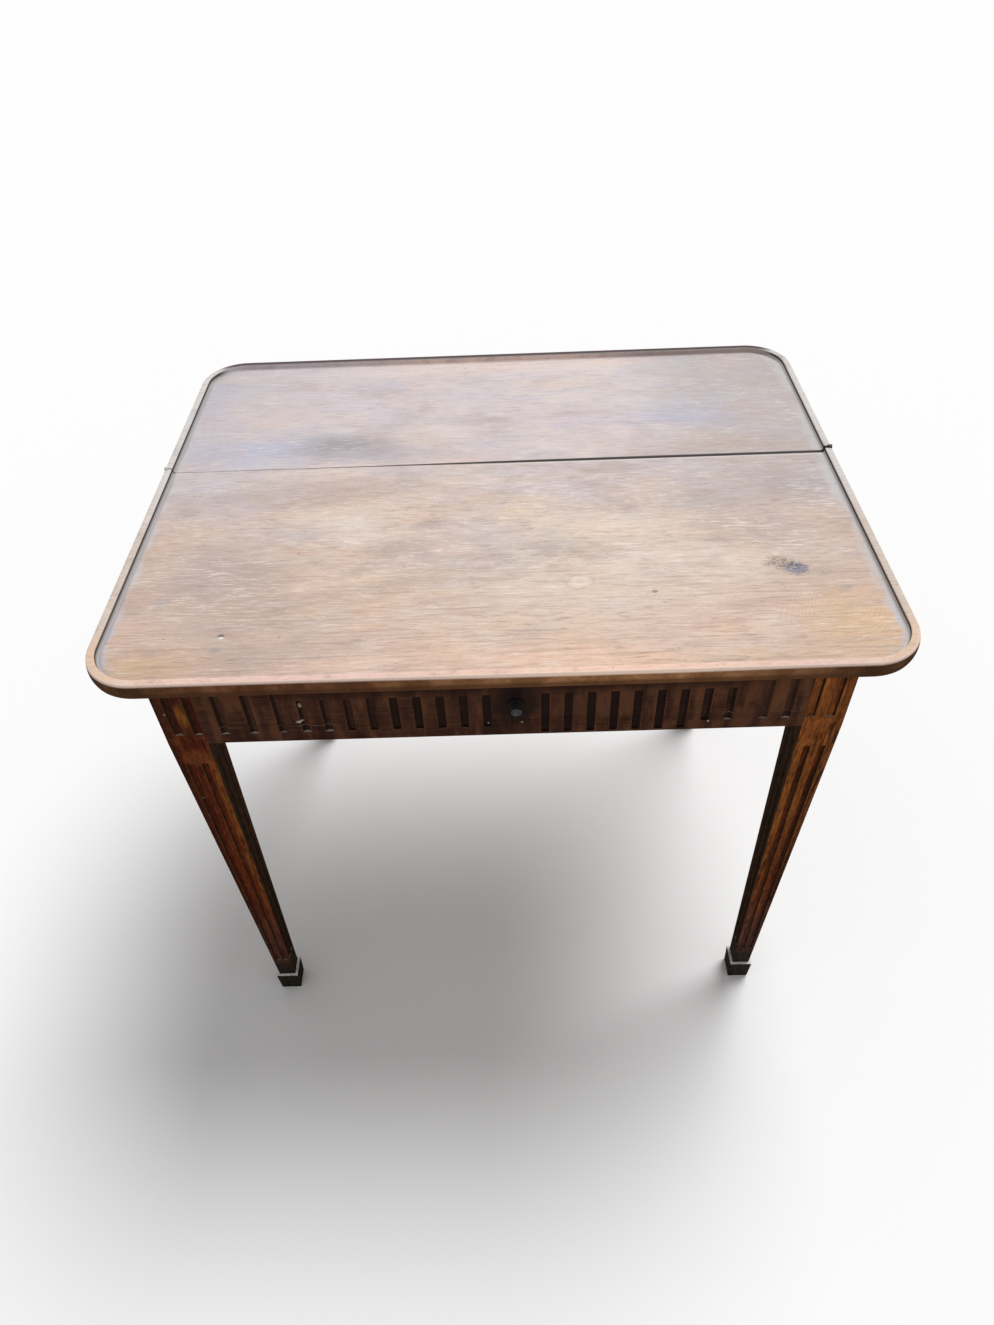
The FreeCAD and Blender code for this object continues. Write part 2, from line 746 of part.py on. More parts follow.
def drawer_range(side, outward, inward):
    """The x range beside one end of the drawer, from outside its side to inside it."""
    if side == "left":
        return DRAWER_LEFT - outward, DRAWER_LEFT + inward
    return DRAWER_RIGHT - inward, DRAWER_RIGHT + outward


def drawer_carriage(side):
    rail_back = LEG_FRONT + S.front_rail_depth
    start, end = drawer_range(side, S.drawer_gap + S.guide_thickness, S.runner_overlap)
    keep(board(f"{side}_drawer_runner", (start, rail_back, RUN_LEVEL - S.runner_height),
               (end, INNER_RAIL_FRONT, RUN_LEVEL)))
    start, end = drawer_range(side, S.drawer_gap + S.guide_thickness, -S.drawer_gap)
    keep(board(f"{side}_drawer_guide", (start, rail_back, RUN_LEVEL),
               (end, INNER_RAIL_FRONT, RUN_LEVEL + S.guide_height)))
    start, end = drawer_range(side, 0, S.runner_overlap)
    kicker_foot = DRAWER_FOOT + DRAWER_SIDE_HEIGHT + S.kicker_gap
    keep(board(f"{side}_drawer_kicker", (start, rail_back, kicker_foot), (end, INNER_RAIL_FRONT, UNDERSIDE)))


def drawer_stop(side):
    start, end = drawer_range(side, -S.stop_margin, S.stop_margin + S.stop_length)
    front = FRONT_REAR + S.drawer_gap
    back = front + S.stop_depth
    return board(f"{side}_stop", (start, front, RUN_LEVEL), (end, back, RUN_LEVEL + S.stop_height))


for hand in ("left", "right"):
    drawer_carriage(hand)
keep(group("drawer_stops", [drawer_stop(hand) for hand in ("left", "right")]))


# Drawer: a fluted front lap-dovetailed to its sides, a back housed in them and a bottom in their grooves.

DRAWER_REAR = INNER_RAIL_FRONT - S.drawer_rear_gap
BOTTOM_TOP = S.drawer_bottom_rise + S.drawer_bottom_thickness


def tail_outlines(root, tip):
    """The lapped dovetails of a drawer corner, from their root line to their tip line."""
    outlines = []
    for number in range(int(S.drawer_tails.value)):
        low = S.drawer_tail_margin + S.drawer_tail_pitch * number
        high = low + S.drawer_tail_root
        flare = S.drawer_tail_flare
        outlines.append([(root, low), (tip, low - flare), (tip, high + flare), (root, high)])
    return outlines


def drawer_front():
    body = keep(new_body("drawer_front"))
    depth = S.drawer_front_thickness
    base = rectangle(sketch_on(body, "XY_Plane"), 0, 0, DRAWER_WIDTH, depth)
    feature(body, "Pad", base, DRAWER_TOP - DRAWER_FOOT)
    for start in DRAWER_ROWS:
        flute_row(body, "XZ_Plane", start - DRAWER_LEFT, FLUTE_LIFT, DRAWER_FOOT, DRAWER_FLUTE_PITCH,
                  S.drawer_flutes, head=DRAWER_FLUTE_HEAD)
    for outline in tail_outlines(depth, depth - S.drawer_lap):
        left_end = draw(sketch_on(body, "YZ_Plane"), outline)
        feature(body, "Pocket", left_end, S.drawer_side_thickness, reverse=True)
        right_end = draw(sketch_on(body, "YZ_Plane", lift=DRAWER_WIDTH), outline)
        feature(body, "Pocket", right_end, S.drawer_side_thickness)
    inset = S.drawer_side_thickness - S.drawer_groove_depth
    groove = rectangle(sketch_on(body, "XZ_Plane", lift=-depth), inset, S.drawer_bottom_rise,
                       DRAWER_WIDTH - inset, BOTTOM_TOP)
    feature(body, "Pocket", groove, S.drawer_groove_depth, reverse=True)
    hole = circle(sketch_on(body, "XZ_Plane", x=DRAWER_WIDTH / 2, y=(DRAWER_TOP - DRAWER_FOOT) / 2),
                  S.knob_shank_radius + S.shank_clearance)
    feature(body, "Pocket", hole, depth)
    place(body, DRAWER_LEFT, LEG_FRONT, DRAWER_FOOT)


def drawer_side(side):
    body = keep(new_body(f"drawer_{side}_side"))
    length = DRAWER_REAR - FRONT_REAR
    thickness = S.drawer_side_thickness
    feature(body, "Pad", rectangle(sketch_on(body, "YZ_Plane"), 0, 0, length, DRAWER_SIDE_HEIGHT), thickness)
    for outline in tail_outlines(0, -S.drawer_lap):
        feature(body, "Pad", draw(sketch_on(body, "YZ_Plane"), outline), thickness)
    inner = thickness if side == "left" else 0
    into_right = side == "right"
    groove = rectangle(sketch_on(body, "YZ_Plane", lift=inner), 0, S.drawer_bottom_rise, length, BOTTOM_TOP)
    feature(body, "Pocket", groove, S.drawer_groove_depth, reverse=into_right)
    back = length - S.drawer_back_inset
    housing = rectangle(sketch_on(body, "YZ_Plane", lift=inner), back - thickness, BOTTOM_TOP, back,
                        DRAWER_SIDE_HEIGHT)
    feature(body, "Pocket", housing, S.housing_depth, reverse=into_right)
    place(body, DRAWER_LEFT if side == "left" else DRAWER_RIGHT - thickness, FRONT_REAR, DRAWER_FOOT)


def drawer_back_and_bottom():
    thickness = S.drawer_side_thickness
    reach = DRAWER_WIDTH / 2 - thickness + S.housing_depth
    rear = DRAWER_REAR - S.drawer_back_inset
    keep(board("drawer_back", (DRAWER_MIDDLE - reach, rear - thickness, DRAWER_FOOT + BOTTOM_TOP),
               (DRAWER_MIDDLE + reach, rear, DRAWER_FOOT + DRAWER_SIDE_HEIGHT)))
    reach = DRAWER_WIDTH / 2 - thickness + S.drawer_groove_depth
    front = FRONT_REAR - S.drawer_groove_depth
    keep(board("drawer_bottom", (DRAWER_MIDDLE - reach, front, DRAWER_FOOT + S.drawer_bottom_rise),
               (DRAWER_MIDDLE + reach, DRAWER_REAR, DRAWER_FOOT + BOTTOM_TOP)))


def drawer_knob():
    """A small turned knob on a round rosette, held by a shank through the drawer front."""
    height = (DRAWER_FOOT + DRAWER_TOP) / 2
    spot = (DRAWER_MIDDLE, LEG_FRONT, height)
    disc = rod("rosette_disc", S.rosette_radius, S.rosette_thickness, *spot, "-Y")
    bore = rod("rosette_bore", S.knob_shank_radius + S.shank_clearance, S.rosette_thickness, *spot, "-Y")
    keep(less("knob_rosette", disc, bore))
    body = keep(new_body("drawer_knob"))
    neck = S.rosette_thickness + S.knob_neck
    outline = [
        (0, -S.drawer_front_thickness),
        (S.knob_shank_radius, -S.drawer_front_thickness),
        (S.knob_shank_radius, neck),
        (S.knob_radius, neck),
        (S.knob_radius, S.knob_reach - S.knob_crown),
        (S.knob_radius - S.knob_crown, S.knob_reach),
        (0, S.knob_reach),
    ]
    turned(body, "Revolution", draw(sketch_on(body, "XZ_Plane"), outline), 360)
    place(body, *spot, 90, Vector(1, 0, 0))


drawer_front()
for hand in ("left", "right"):
    drawer_side(hand)
drawer_back_and_bottom()
drawer_knob()


# Top: each leaf is a board edged with a moulding that stands up as a rim.

def moulding_section(sketch, shift):
    """The moulding's section: outer edge at shift, inward to the board along +x, up along +y."""
    points = [
        (S.moulding_width, 0),
        (S.edge_bulge, 0),
        (S.edge_bulge, RIM_TOP),
        (S.rim_width, RIM_TOP),
        (S.rim_width + S.rim_slope, S.board_thickness),
        (S.moulding_width, S.board_thickness),
    ]
    nosing = RIM_TOP * RIM_TOP / (S.edge_bulge * 8) + S.edge_bulge / 2
    return draw(sketch, [(x + shift, y) for x, y in points], {1: (nosing, "right")})


def straight_moulding(label, length, x, y, turn):
    body = keep(new_body(label))
    feature(body, "Pad", moulding_section(sketch_on(body, "YZ_Plane"), 0), length)
    place(body, x, y, UNDERSIDE, turn)
    return body


def hinge_recess(body, length, seam_at_start):
    """The let-in seat of a hinge plate and the notch above it for the eyes."""
    seat = S.hinge_plate_length
    notch = S.eye_radius + S.eye_room
    ends = ((0, seat), (0, notch)) if seam_at_start else ((length - seat, length), (length - notch, length))
    plate = rectangle(sketch_on(body, "XZ_Plane"), ends[0][0], S.hinge_plate_low, ends[0][1], PLATE_TOP)
    feature(body, "Pocket", plate, PLATE_THICKNESS + S.hinge_inset)
    eyes = rectangle(sketch_on(body, "XZ_Plane"), ends[1][0], PLATE_TOP, ends[1][1], RIM_TOP)
    feature(body, "Pocket", eyes, PLATE_THICKNESS + S.hinge_inset + S.eye_gap)


def corner_moulding(label, x, y, turn):
    body = new_body(label)
    section = moulding_section(sketch_on(body, "YZ_Plane"), -S.corner_radius)
    turned(body, "Revolution", section, 90)
    place(body, x, y, UNDERSIDE, turn)
    return body


def leaf(name, depth, seam_edge, outer, turn):
    """One leaf: its board, the moulding along its outer edge, two corners and two ends."""
    half = HALF_TOP - S.moulding_width
    far = depth - S.moulding_width - HALF_SEAM
    radius = S.corner_radius - S.moulding_width
    body = keep(new_body(f"{name}_leaf_board"))
    outline = [(half, 0), (-half, 0), (-half, radius - far), (radius - half, -far), (half - radius, -far),
               (half, radius - far)]
    plan = draw(sketch_on(body, "XY_Plane"), outline, {2: (radius, "left"), 4: (radius, "left")})
    feature(body, "Pad", plan, S.board_thickness)
    place(body, 0, seam_edge, UNDERSIDE, turn)

    bend = HALF_TOP - S.corner_radius
    front = name == "front"
    bend_line = outer + S.corner_radius if front else outer - S.corner_radius
    straight_moulding(f"{name}_leaf_long_moulding", bend * 2, -bend if front else bend, outer, turn)
    length = depth - S.corner_radius - HALF_SEAM
    left_start, right_start = (seam_edge, bend_line) if front else (bend_line, seam_edge)
    left = straight_moulding(f"{name}_leaf_left_moulding", length, -HALF_TOP, left_start, -90)
    hinge_recess(left, length, seam_at_start=front)
    right = straight_moulding(f"{name}_leaf_right_moulding", length, HALF_TOP, right_start, 90)
    hinge_recess(right, length, seam_at_start=not front)
    left_corner = corner_moulding(f"{name}_leaf_left_corner", -bend, bend_line, -90 if front else 180)
    right_corner = corner_moulding(f"{name}_leaf_right_corner", bend, bend_line, 0 if front else 90)
    keep(group(f"{name}_leaf_corners", [left_corner, right_corner]))


leaf("front", S.front_leaf_depth, SEAM - HALF_SEAM, FRONT, 0)
leaf("rear", S.rear_leaf_depth, SEAM + HALF_SEAM, BACK, 180)


# Leaf hinges: a plate in each leaf's end, with eyes side by side on one pin at the level of the rim.

def hinge_plate(side, leaf_name):
    name = f"{side}_hinge_{leaf_name}_plate"
    ways = {"front": (SEAM - HALF_SEAM, -1), "rear": (SEAM + HALF_SEAM, 1)}
    seam_edge, way = ways[leaf_name]
    plate_foot = UNDERSIDE + S.hinge_plate_low
    plate_top = UNDERSIDE + PLATE_TOP
    x_range = across(side, PLATE_OUTER - PLATE_THICKNESS, PLATE_OUTER)
    ends = sorted((seam_edge, seam_edge + S.hinge_plate_length * way), key=lambda size: size.value)
    plate = board(name + "_leaf", (x_range[0], ends[0], plate_foot), (x_range[1], ends[1], plate_top))
    inner = PLATE_OUTER - (S.eye_thickness if leaf_name == "front" else PLATE_THICKNESS)
    x_eye = across(side, inner, inner + S.eye_thickness)
    ends = sorted((seam_edge, seam_edge + S.eye_radius * way), key=lambda size: size.value)
    arm = board(name + "_arm", (x_eye[0], ends[0], plate_top), (x_eye[1], ends[1], FOLD_AXIS))
    eye = rod(name + "_eye", S.eye_radius, S.eye_thickness, x_eye[0], SEAM, FOLD_AXIS, "+X")
    bore = rod(name + "_bore", S.hinge_pin_radius + S.hinge_pin_clearance, S.eye_thickness, x_eye[0], SEAM,
               FOLD_AXIS, "+X")
    return less(name, joined(name + "_blank", [plate, arm, eye]), bore)


def hinge_pin(side):
    start = across(side, PLATE_OUTER - PLATE_THICKNESS, PLATE_OUTER)[0]
    return rod(f"{side}_hinge_pin", S.hinge_pin_radius, PLATE_THICKNESS, start, SEAM, FOLD_AXIS, "+X")


for leaf_name in ("front", "rear"):
    keep(group(f"{leaf_name}_hinge_plates", [hinge_plate(hand, leaf_name) for hand in ("left", "right")]))
keep(group("hinge_pins", [hinge_pin(hand) for hand in ("left", "right")]))


# Recompute, check every step and write each piece.

doc.recompute()
CUTS = ("Pocket", "Groove", "LinearPattern", "PolarPattern")
for thing in doc.Objects:
    if "Invalid" in thing.State or "Error" in thing.State:
        raise RuntimeError(f"{thing.Label} failed: {thing.State}")
    if thing.TypeId.split("::")[-1] in CUTS and thing.Shape.Volume >= thing.BaseFeature.Shape.Volume:
        raise RuntimeError(f"{thing.Label} cuts nothing")

os.makedirs("parts", exist_ok=True)
for thing in NODES:
    shape = thing.Shape
    if shape.isNull() or not shape.isValid():
        raise RuntimeError(f"{thing.Label} has no valid shape")
    shape.exportStep(f"parts/{thing.Label}.step")
    box = shape.BoundBox
    extent = f"{box.XLength:.1f} x {box.YLength:.1f} x {box.ZLength:.1f} mm"
    print(f"{thing.Label}: {len(shape.Solids)} solid(s), {extent}")
print(f"{len(NODES)} pieces")
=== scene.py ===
# %% [markdown]
# An old games table. Its top is a shallow tray in two leaves, the rear leaf folds over on the front one,
# the rear legs slide in under it, and a drawer opens at the front. The CAD model already holds every
# board, rail, leg and hinge at its true size, so it comes in first and stays as the fixed frame that
# everything here is set against.

# %% Load the frame
import json
import math

import bmesh
import bpy
from mathutils import Matrix, Vector

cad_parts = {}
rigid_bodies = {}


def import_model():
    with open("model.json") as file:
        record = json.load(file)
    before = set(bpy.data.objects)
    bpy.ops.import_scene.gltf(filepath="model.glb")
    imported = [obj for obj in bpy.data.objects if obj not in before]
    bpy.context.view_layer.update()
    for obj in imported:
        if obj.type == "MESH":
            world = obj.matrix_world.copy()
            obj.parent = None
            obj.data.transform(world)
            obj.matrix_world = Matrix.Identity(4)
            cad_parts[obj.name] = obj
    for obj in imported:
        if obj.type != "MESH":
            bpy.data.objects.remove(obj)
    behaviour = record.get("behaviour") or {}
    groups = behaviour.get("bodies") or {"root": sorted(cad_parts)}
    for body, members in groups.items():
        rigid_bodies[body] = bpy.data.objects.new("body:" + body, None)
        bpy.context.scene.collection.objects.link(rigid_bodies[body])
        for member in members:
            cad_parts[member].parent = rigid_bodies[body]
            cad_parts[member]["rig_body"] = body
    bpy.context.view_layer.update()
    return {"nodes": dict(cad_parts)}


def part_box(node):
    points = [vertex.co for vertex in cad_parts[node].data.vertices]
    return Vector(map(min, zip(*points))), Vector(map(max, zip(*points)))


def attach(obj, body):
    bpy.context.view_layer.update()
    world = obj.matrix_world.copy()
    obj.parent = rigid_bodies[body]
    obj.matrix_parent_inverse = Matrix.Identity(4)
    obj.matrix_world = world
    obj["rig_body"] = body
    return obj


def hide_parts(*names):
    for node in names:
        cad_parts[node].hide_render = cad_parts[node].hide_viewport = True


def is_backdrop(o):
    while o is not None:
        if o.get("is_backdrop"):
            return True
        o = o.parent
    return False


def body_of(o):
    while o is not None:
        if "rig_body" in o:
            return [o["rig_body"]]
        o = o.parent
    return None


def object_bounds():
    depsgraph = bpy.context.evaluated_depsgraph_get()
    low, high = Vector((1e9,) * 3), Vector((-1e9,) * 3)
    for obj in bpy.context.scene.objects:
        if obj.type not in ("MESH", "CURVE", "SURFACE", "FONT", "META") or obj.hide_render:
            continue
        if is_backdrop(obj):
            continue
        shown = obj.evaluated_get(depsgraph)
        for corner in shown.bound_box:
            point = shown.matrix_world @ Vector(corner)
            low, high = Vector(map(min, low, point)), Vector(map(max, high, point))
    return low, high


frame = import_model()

nodes = frame["nodes"]

# %% [markdown]
# The camera stands close by and looks down at 45 degrees through a wide lens, so the legs seem to lean
# towards each other. A tracking constraint could aim it; three plain turns are easier to check, as each
# has a meaning: heading, tilt, and a slight roll of the hand.

# %% Camera
IMAGE_HEIGHT = 1325
FOCAL_LENGTH_IN_PIXELS = 921.4
EYE = (0.0109, -1.0443, 1.4509)


def stand(name, data):
    """A new object in the scene."""
    made = bpy.data.objects.new(name, data)
    bpy.context.scene.collection.objects.link(made)
    return made


camera_data = bpy.data.cameras.new("table_camera")
camera_data.sensor_width = 36.0
camera_data.lens = FOCAL_LENGTH_IN_PIXELS * camera_data.sensor_width / IMAGE_HEIGHT
camera = stand("table_camera", camera_data)
heading, tilt, roll = (math.radians(a) for a in (1.2, 45.0, -2.6))
turned = Matrix.Rotation(heading, 4, "Z") @ Matrix.Rotation(tilt, 4, "X") @ Matrix.Rotation(roll, 4, "Z")
camera.matrix_world = Matrix.Translation(EYE) @ turned
bpy.context.scene.camera = camera
print(f"camera of {camera_data.lens:.1f} mm")

# %% [markdown]
# Every finish below is a net of the same few nodes: noise for clouds and grain, a smooth step that turns a
# number into a mask, and a mix that lays one colour over another through that mask. A short helper for
# each keeps the recipes readable. The patterns read Object coordinates: each piece sits at the origin with
# its place in its mesh, so these are real metres, and a stain can be put where it is on the table.

# %% Short names for shader nodes
class Recipe:
    """The nodes of one material or of one shared effect."""

    def __init__(self, tree):
        self.tree = tree

    def add(self, kind, inputs=None, **settings):
        made = self.tree.nodes.new("ShaderNode" + kind)
        for name, value in settings.items():
            setattr(made, name, value)
        for key, value in (inputs or {}).items():
            self.give(made.inputs[key], value)
        return made

    def give(self, socket, value):
        if isinstance(value, bpy.types.NodeSocket):
            self.tree.links.new(value, socket)
        else:
            socket.default_value = value

    def maths(self, operation, first, second=0.0):
        return self.add("Math", {0: first, 1: second}, operation=operation).outputs[0]

    def plus(self, first, second):
        return self.maths("ADD", first, second)

    def less(self, first, second):
        return self.maths("SUBTRACT", first, second)

    def times(self, first, *others):
        for other in others:
            first = self.maths("MULTIPLY", first, other)
        return first

    def larger(self, first, second):
        return self.maths("MAXIMUM", first, second)

    def absolute(self, value):
        return self.maths("ABSOLUTE", value)

    def vector(self, operation, first, second=(0, 0, 0)):
        made = self.add("VectorMath", {0: first, 1: second}, operation=operation)
        return made.outputs["Value" if operation == "LENGTH" else "Vector"]

    def split(self, vector):
        return self.add("SeparateXYZ", {0: vector}).outputs

    def noise(self, where, scale, detail=3.0, roughness=0.55, twist=0.0, stretch=None):
        if stretch:
            where = self.vector("MULTIPLY", where, stretch)
        inputs = {"Vector": where, "Scale": scale, "Detail": detail, "Roughness": roughness}
        return self.add("TexNoise", {**inputs, "Distortion": twist}).outputs[0]

    def step(self, value, start, end, most=1.0):
        inputs = {"Value": value, "From Min": start, "From Max": end, "To Max": most}
        return self.add("MapRange", inputs, interpolation_type="SMOOTHSTEP").outputs["Result"]

    def over(self, mask, below, above):
        return self.add("Mix", {0: mask, 6: paint(below), 7: paint(above)}, data_type="RGBA").outputs[2]

    def layers(self, colour, *coats):
        """Lay coats over a colour, one after the other; each coat is a mask and a tone."""
        for mask, tone in coats:
            colour = self.over(mask, colour, tone)
        return colour

    def bump(self, height, strength, distance):
        return self.add("Bump", {"Height": height, "Strength": strength, "Distance": distance}).outputs[0]

    def effect(self, group, **inputs):
        return self.add("Group", inputs, node_tree=group).outputs

    def show(self, **sockets):
        """Feed the shader's sockets; underscores stand for the blanks in their names."""
        surface = self.tree.nodes["Principled BSDF"].inputs
        for name, value in sockets.items():
            self.give(surface[name.replace("_", " ")], value)


def paint(colour):
    """A colour written as three numbers gets the fourth that Blender asks for."""
    return (*colour, 1.0) if isinstance(colour, tuple) else colour


def start_finish(name, **constants):
    material = bpy.data.materials.new(name)
    material.use_nodes = True
    recipe = Recipe(material.node_tree)
    recipe.show(**constants)
    return material, recipe, recipe.add("TexCoord").outputs["Object"]


def tell(what, tree):
    print(f"{what}: {len(tree.nodes)} nodes")


print("helpers for finishes are ready")

# %% [markdown]
# The table stands in a white studio. One wide soft lamp behind it on the right throws the shadow forward
# and to the left, and an even white sky fills the rest. The floor is a plain pale plane, so the shadow
# stays on it. Lens and polish see a full white sky, while the light it gives is less than half of that;
# the Light Path node tells the rays apart.

# %% Floor, lamp and sky
FLOOR_SIZE, FLOOR_TONE = 60.0, (0.96, 0.96, 0.96, 1)
shape = bmesh.new()
bmesh.ops.create_grid(shape, x_segments=1, y_segments=1, size=FLOOR_SIZE / 2)
floor_mesh = bpy.data.meshes.new("studio_floor")
shape.to_mesh(floor_mesh)
shape.free()
floor = stand("studio_floor", floor_mesh)
floor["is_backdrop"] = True
floor_paint = start_finish("studio_floor", Base_Color=FLOOR_TONE, Roughness=1.0, Specular_IOR_Level=0.0)[0]
floor_mesh.materials.append(floor_paint)

SKY_LIGHT, ALL_LIGHT = 0.40, 1.03
LAMP_HEIGHT, LAMP_HEADING, LAMP_SPREAD = math.radians(62), math.radians(-37), math.radians(32)
lamp_data = bpy.data.lights.new("soft_lamp", "SUN")
lamp_data.angle = LAMP_SPREAD
lamp_data.energy = (ALL_LIGHT - SKY_LIGHT) * math.pi / math.sin(LAMP_HEIGHT)
lamp = stand("soft_lamp", lamp_data)
lamp.rotation_euler = (-(math.pi / 2 - LAMP_HEIGHT), 0, LAMP_HEADING)

sky = bpy.data.worlds.new("studio_sky")
bpy.context.scene.world = sky
sky.use_nodes = True
air = Recipe(sky.node_tree)
ray = air.add("LightPath").outputs
seen = air.larger(ray["Is Camera Ray"], air.larger(ray["Is Glossy Ray"], ray["Is Transmission Ray"]))
background = sky.node_tree.nodes["Background"].inputs
air.give(background["Color"], (1, 1, 1, 1))
air.give(background["Strength"], air.add("MapRange", {"Value": seen, "To Min": SKY_LIGHT}).outputs["Result"])
bpy.context.scene.view_settings.view_transform = "Standard"
print(f"lamp at {lamp_data.energy:.2f}, sky at {SKY_LIGHT}")

# %% [markdown]
# Wood is the main surface, so its grain is a shared effect: noise pulled out along one direction. Slow
# clouds give the figure, finer ones the streaks, and the finest, cut off high, the open pores. The stretch
# is an input, because the grain runs across the top and up the legs.

# %% Shared effect: wood grain
def start_effect(name, outputs, **inputs):
    tree = bpy.data.node_groups.new(name, "ShaderNodeTree")
    for socket, value in {"Vector": (0, 0, 0), **inputs}.items():
        kind = "NodeSocketVector" if isinstance(value, tuple) else "NodeSocketFloat"
        tree.interface.new_socket(socket, in_out="INPUT", socket_type=kind).default_value = value
    for socket in outputs:
        tree.interface.new_socket(socket, in_out="OUTPUT", socket_type="NodeSocketFloat")
    given = tree.nodes.new("NodeGroupInput").outputs
    return Recipe(tree), given, tree.nodes.new("NodeGroupOutput").inputs


grain, given, result = start_effect(
    "Wood grain", ["Figure", "Streaks", "Dashes", "Pores"], Stretch=(0.6, 9, 9)
)
wander = grain.add("TexNoise", {"Vector": given["Vector"], "Scale": 4.0, "Detail": 2.0}).outputs["Color"]
bend = {0: wander, 1: (0.012, 0.012, 0.012), 2: given["Vector"]}
bent = grain.add("VectorMath", bend, operation="MULTIPLY_ADD").outputs["Vector"]
drawn = grain.vector("MULTIPLY", bent, given["Stretch"])
grain.give(result["Figure"], grain.noise(drawn, 3.5, 5.0, 0.6, 0.7))
grain.give(result["Streaks"], grain.noise(drawn, 42.0, 6.0, 0.68))
grain.give(result["Dashes"], grain.step(grain.noise(drawn, 75.0, 3.0, 0.6), 0.54, 0.72))
grain.give(result["Pores"], grain.step(grain.noise(drawn, 150.0, 2.0, 0.6), 0.60, 0.72))
wood_grain = grain.tree
print("wood grain has", [o.name for o in wood_grain.nodes["Group Output"].inputs if o.name])

# %% [markdown]
# Stains, bleached places and smoky bloom are all soft-edged patches, so one effect serves: the distance
# from a centre, measured in patch sizes and roughened by noise, becomes a mask. A ragged edge makes ink, a
# very soft one a bleached cloud. The noise gets its offset from a Mapping node of its own; a shared one
# would stay on the renderer's small stack, which a finish with many patches fills up.

# %% Shared effect: soft patch
AREA = {"Centre": (0, 0, 0), "Size": (0.1, 0.1, 0.1)}
patch, given, result = start_effect("Soft patch", ["Mask"], **AREA, Soft=0.8, Ragged=0.6)
offset = patch.vector("DIVIDE", patch.vector("SUBTRACT", given["Vector"], given["Centre"]), given["Size"])
moved = {"Vector": given["Vector"], "Location": given["Centre"], "Scale": given["Size"]}
near = patch.add("Mapping", moved, vector_type="TEXTURE").outputs["Vector"]
torn = patch.times(patch.less(patch.noise(near, 1.7, 5.0, 0.62), 0.5), given["Ragged"])
reach = patch.plus(patch.vector("LENGTH", offset), torn)
patch.give(result["Mask"], patch.step(reach, 1.0, patch.less(1.0, given["Soft"])))
soft_patch = patch.tree


def spot(recipe, place, centre, size, soft=0.8, ragged=0.6):
    inputs = {"Vector": place, "Centre": centre, "Size": size, "Soft": soft, "Ragged": ragged}
    return recipe.effect(soft_patch, **inputs)["Mask"]


tell("soft patch", soft_patch)

# %% [markdown]
# Dirt and painted shade lie where the field meets the rim, and the rim wears on its crown. Both follow the
# outline of the top, a rectangle with round corners, so this effect measures how far in from it a point
# lies. That needs only an absolute value, a maximum and a length.

# %% Shared effect: distance in from the tray's outline
HALF_TOP = (0.4625, 0.36346)
CORNER_RADIUS = 0.064
edge, given, result = start_effect("Tray edge", ["Inset"])
flat = edge.vector("ABSOLUTE", edge.vector("MULTIPLY", given["Vector"], (1, 1, 0)))
past = edge.vector("SUBTRACT", flat, (HALF_TOP[0] - CORNER_RADIUS, HALF_TOP[1] - CORNER_RADIUS, 0))
round_part = edge.vector("LENGTH", edge.vector("MAXIMUM", past, (0, 0, 0)))
sides = edge.split(past)
straight_part = edge.maths("MINIMUM", edge.larger(sides[0], sides[1]), 0.0)
edge.give(result["Inset"], edge.less(CORNER_RADIUS, edge.plus(round_part, straight_part)))
tray_edge = edge.tree
tell("tray edge", tray_edge)

# %% [markdown]
# Long use leaves pinholes, flecks of paint and small bruises. A Voronoi texture scatters one point in each
# of its cells, and its random colour decides which cells keep their fleck and how large it is.

# %% Shared effect: flecks
fleck, given, result = start_effect("Flecks", ["Mask"], Scale=60.0, Share=0.2, Radius=0.2)
cells = fleck.add("TexVoronoi", {"Vector": given["Vector"], "Scale": given["Scale"]}).outputs
luck = fleck.add("SeparateColor", {0: cells["Color"]}).outputs
wide = fleck.times(luck[1], given["Radius"])
dot = fleck.step(cells["Distance"], wide, fleck.times(wide, 0.6))
kept = fleck.maths("LESS_THAN", luck[0], given["Share"])
fleck.give(result["Mask"], fleck.times(dot, kept))
flecks = fleck.tree


def specks(recipe, place, scale, share, radius):
    return recipe.effect(flecks, Vector=place, Scale=scale, Share=share, Radius=radius)["Mask"]


tell("flecks", flecks)

# %% [markdown]
# Round a knot the grain runs in rings. The distance from the knot, disturbed by noise and sent through a
# sine, gives them; the same effect with a large size and many rings gives the swirl in the right front of
# the top.

# %% Shared effect: rings
ring, given, result = start_effect("Rings", ["Mask"], **AREA, Count=8.0)
offset = ring.vector("DIVIDE", ring.vector("SUBTRACT", given["Vector"], given["Centre"]), given["Size"])
uneven = ring.times(ring.less(ring.noise(offset, 1.1, 2.0), 0.5), 0.6)
reach = ring.plus(ring.vector("LENGTH", offset), uneven)
wave = ring.maths("SINE", ring.times(reach, given["Count"], 2 * math.pi))
ring.give(result["Mask"], ring.times(ring.step(wave, 0.1, 0.9), ring.step(reach, 1.0, 0.5)))
rings = ring.tree
tell("rings", rings)
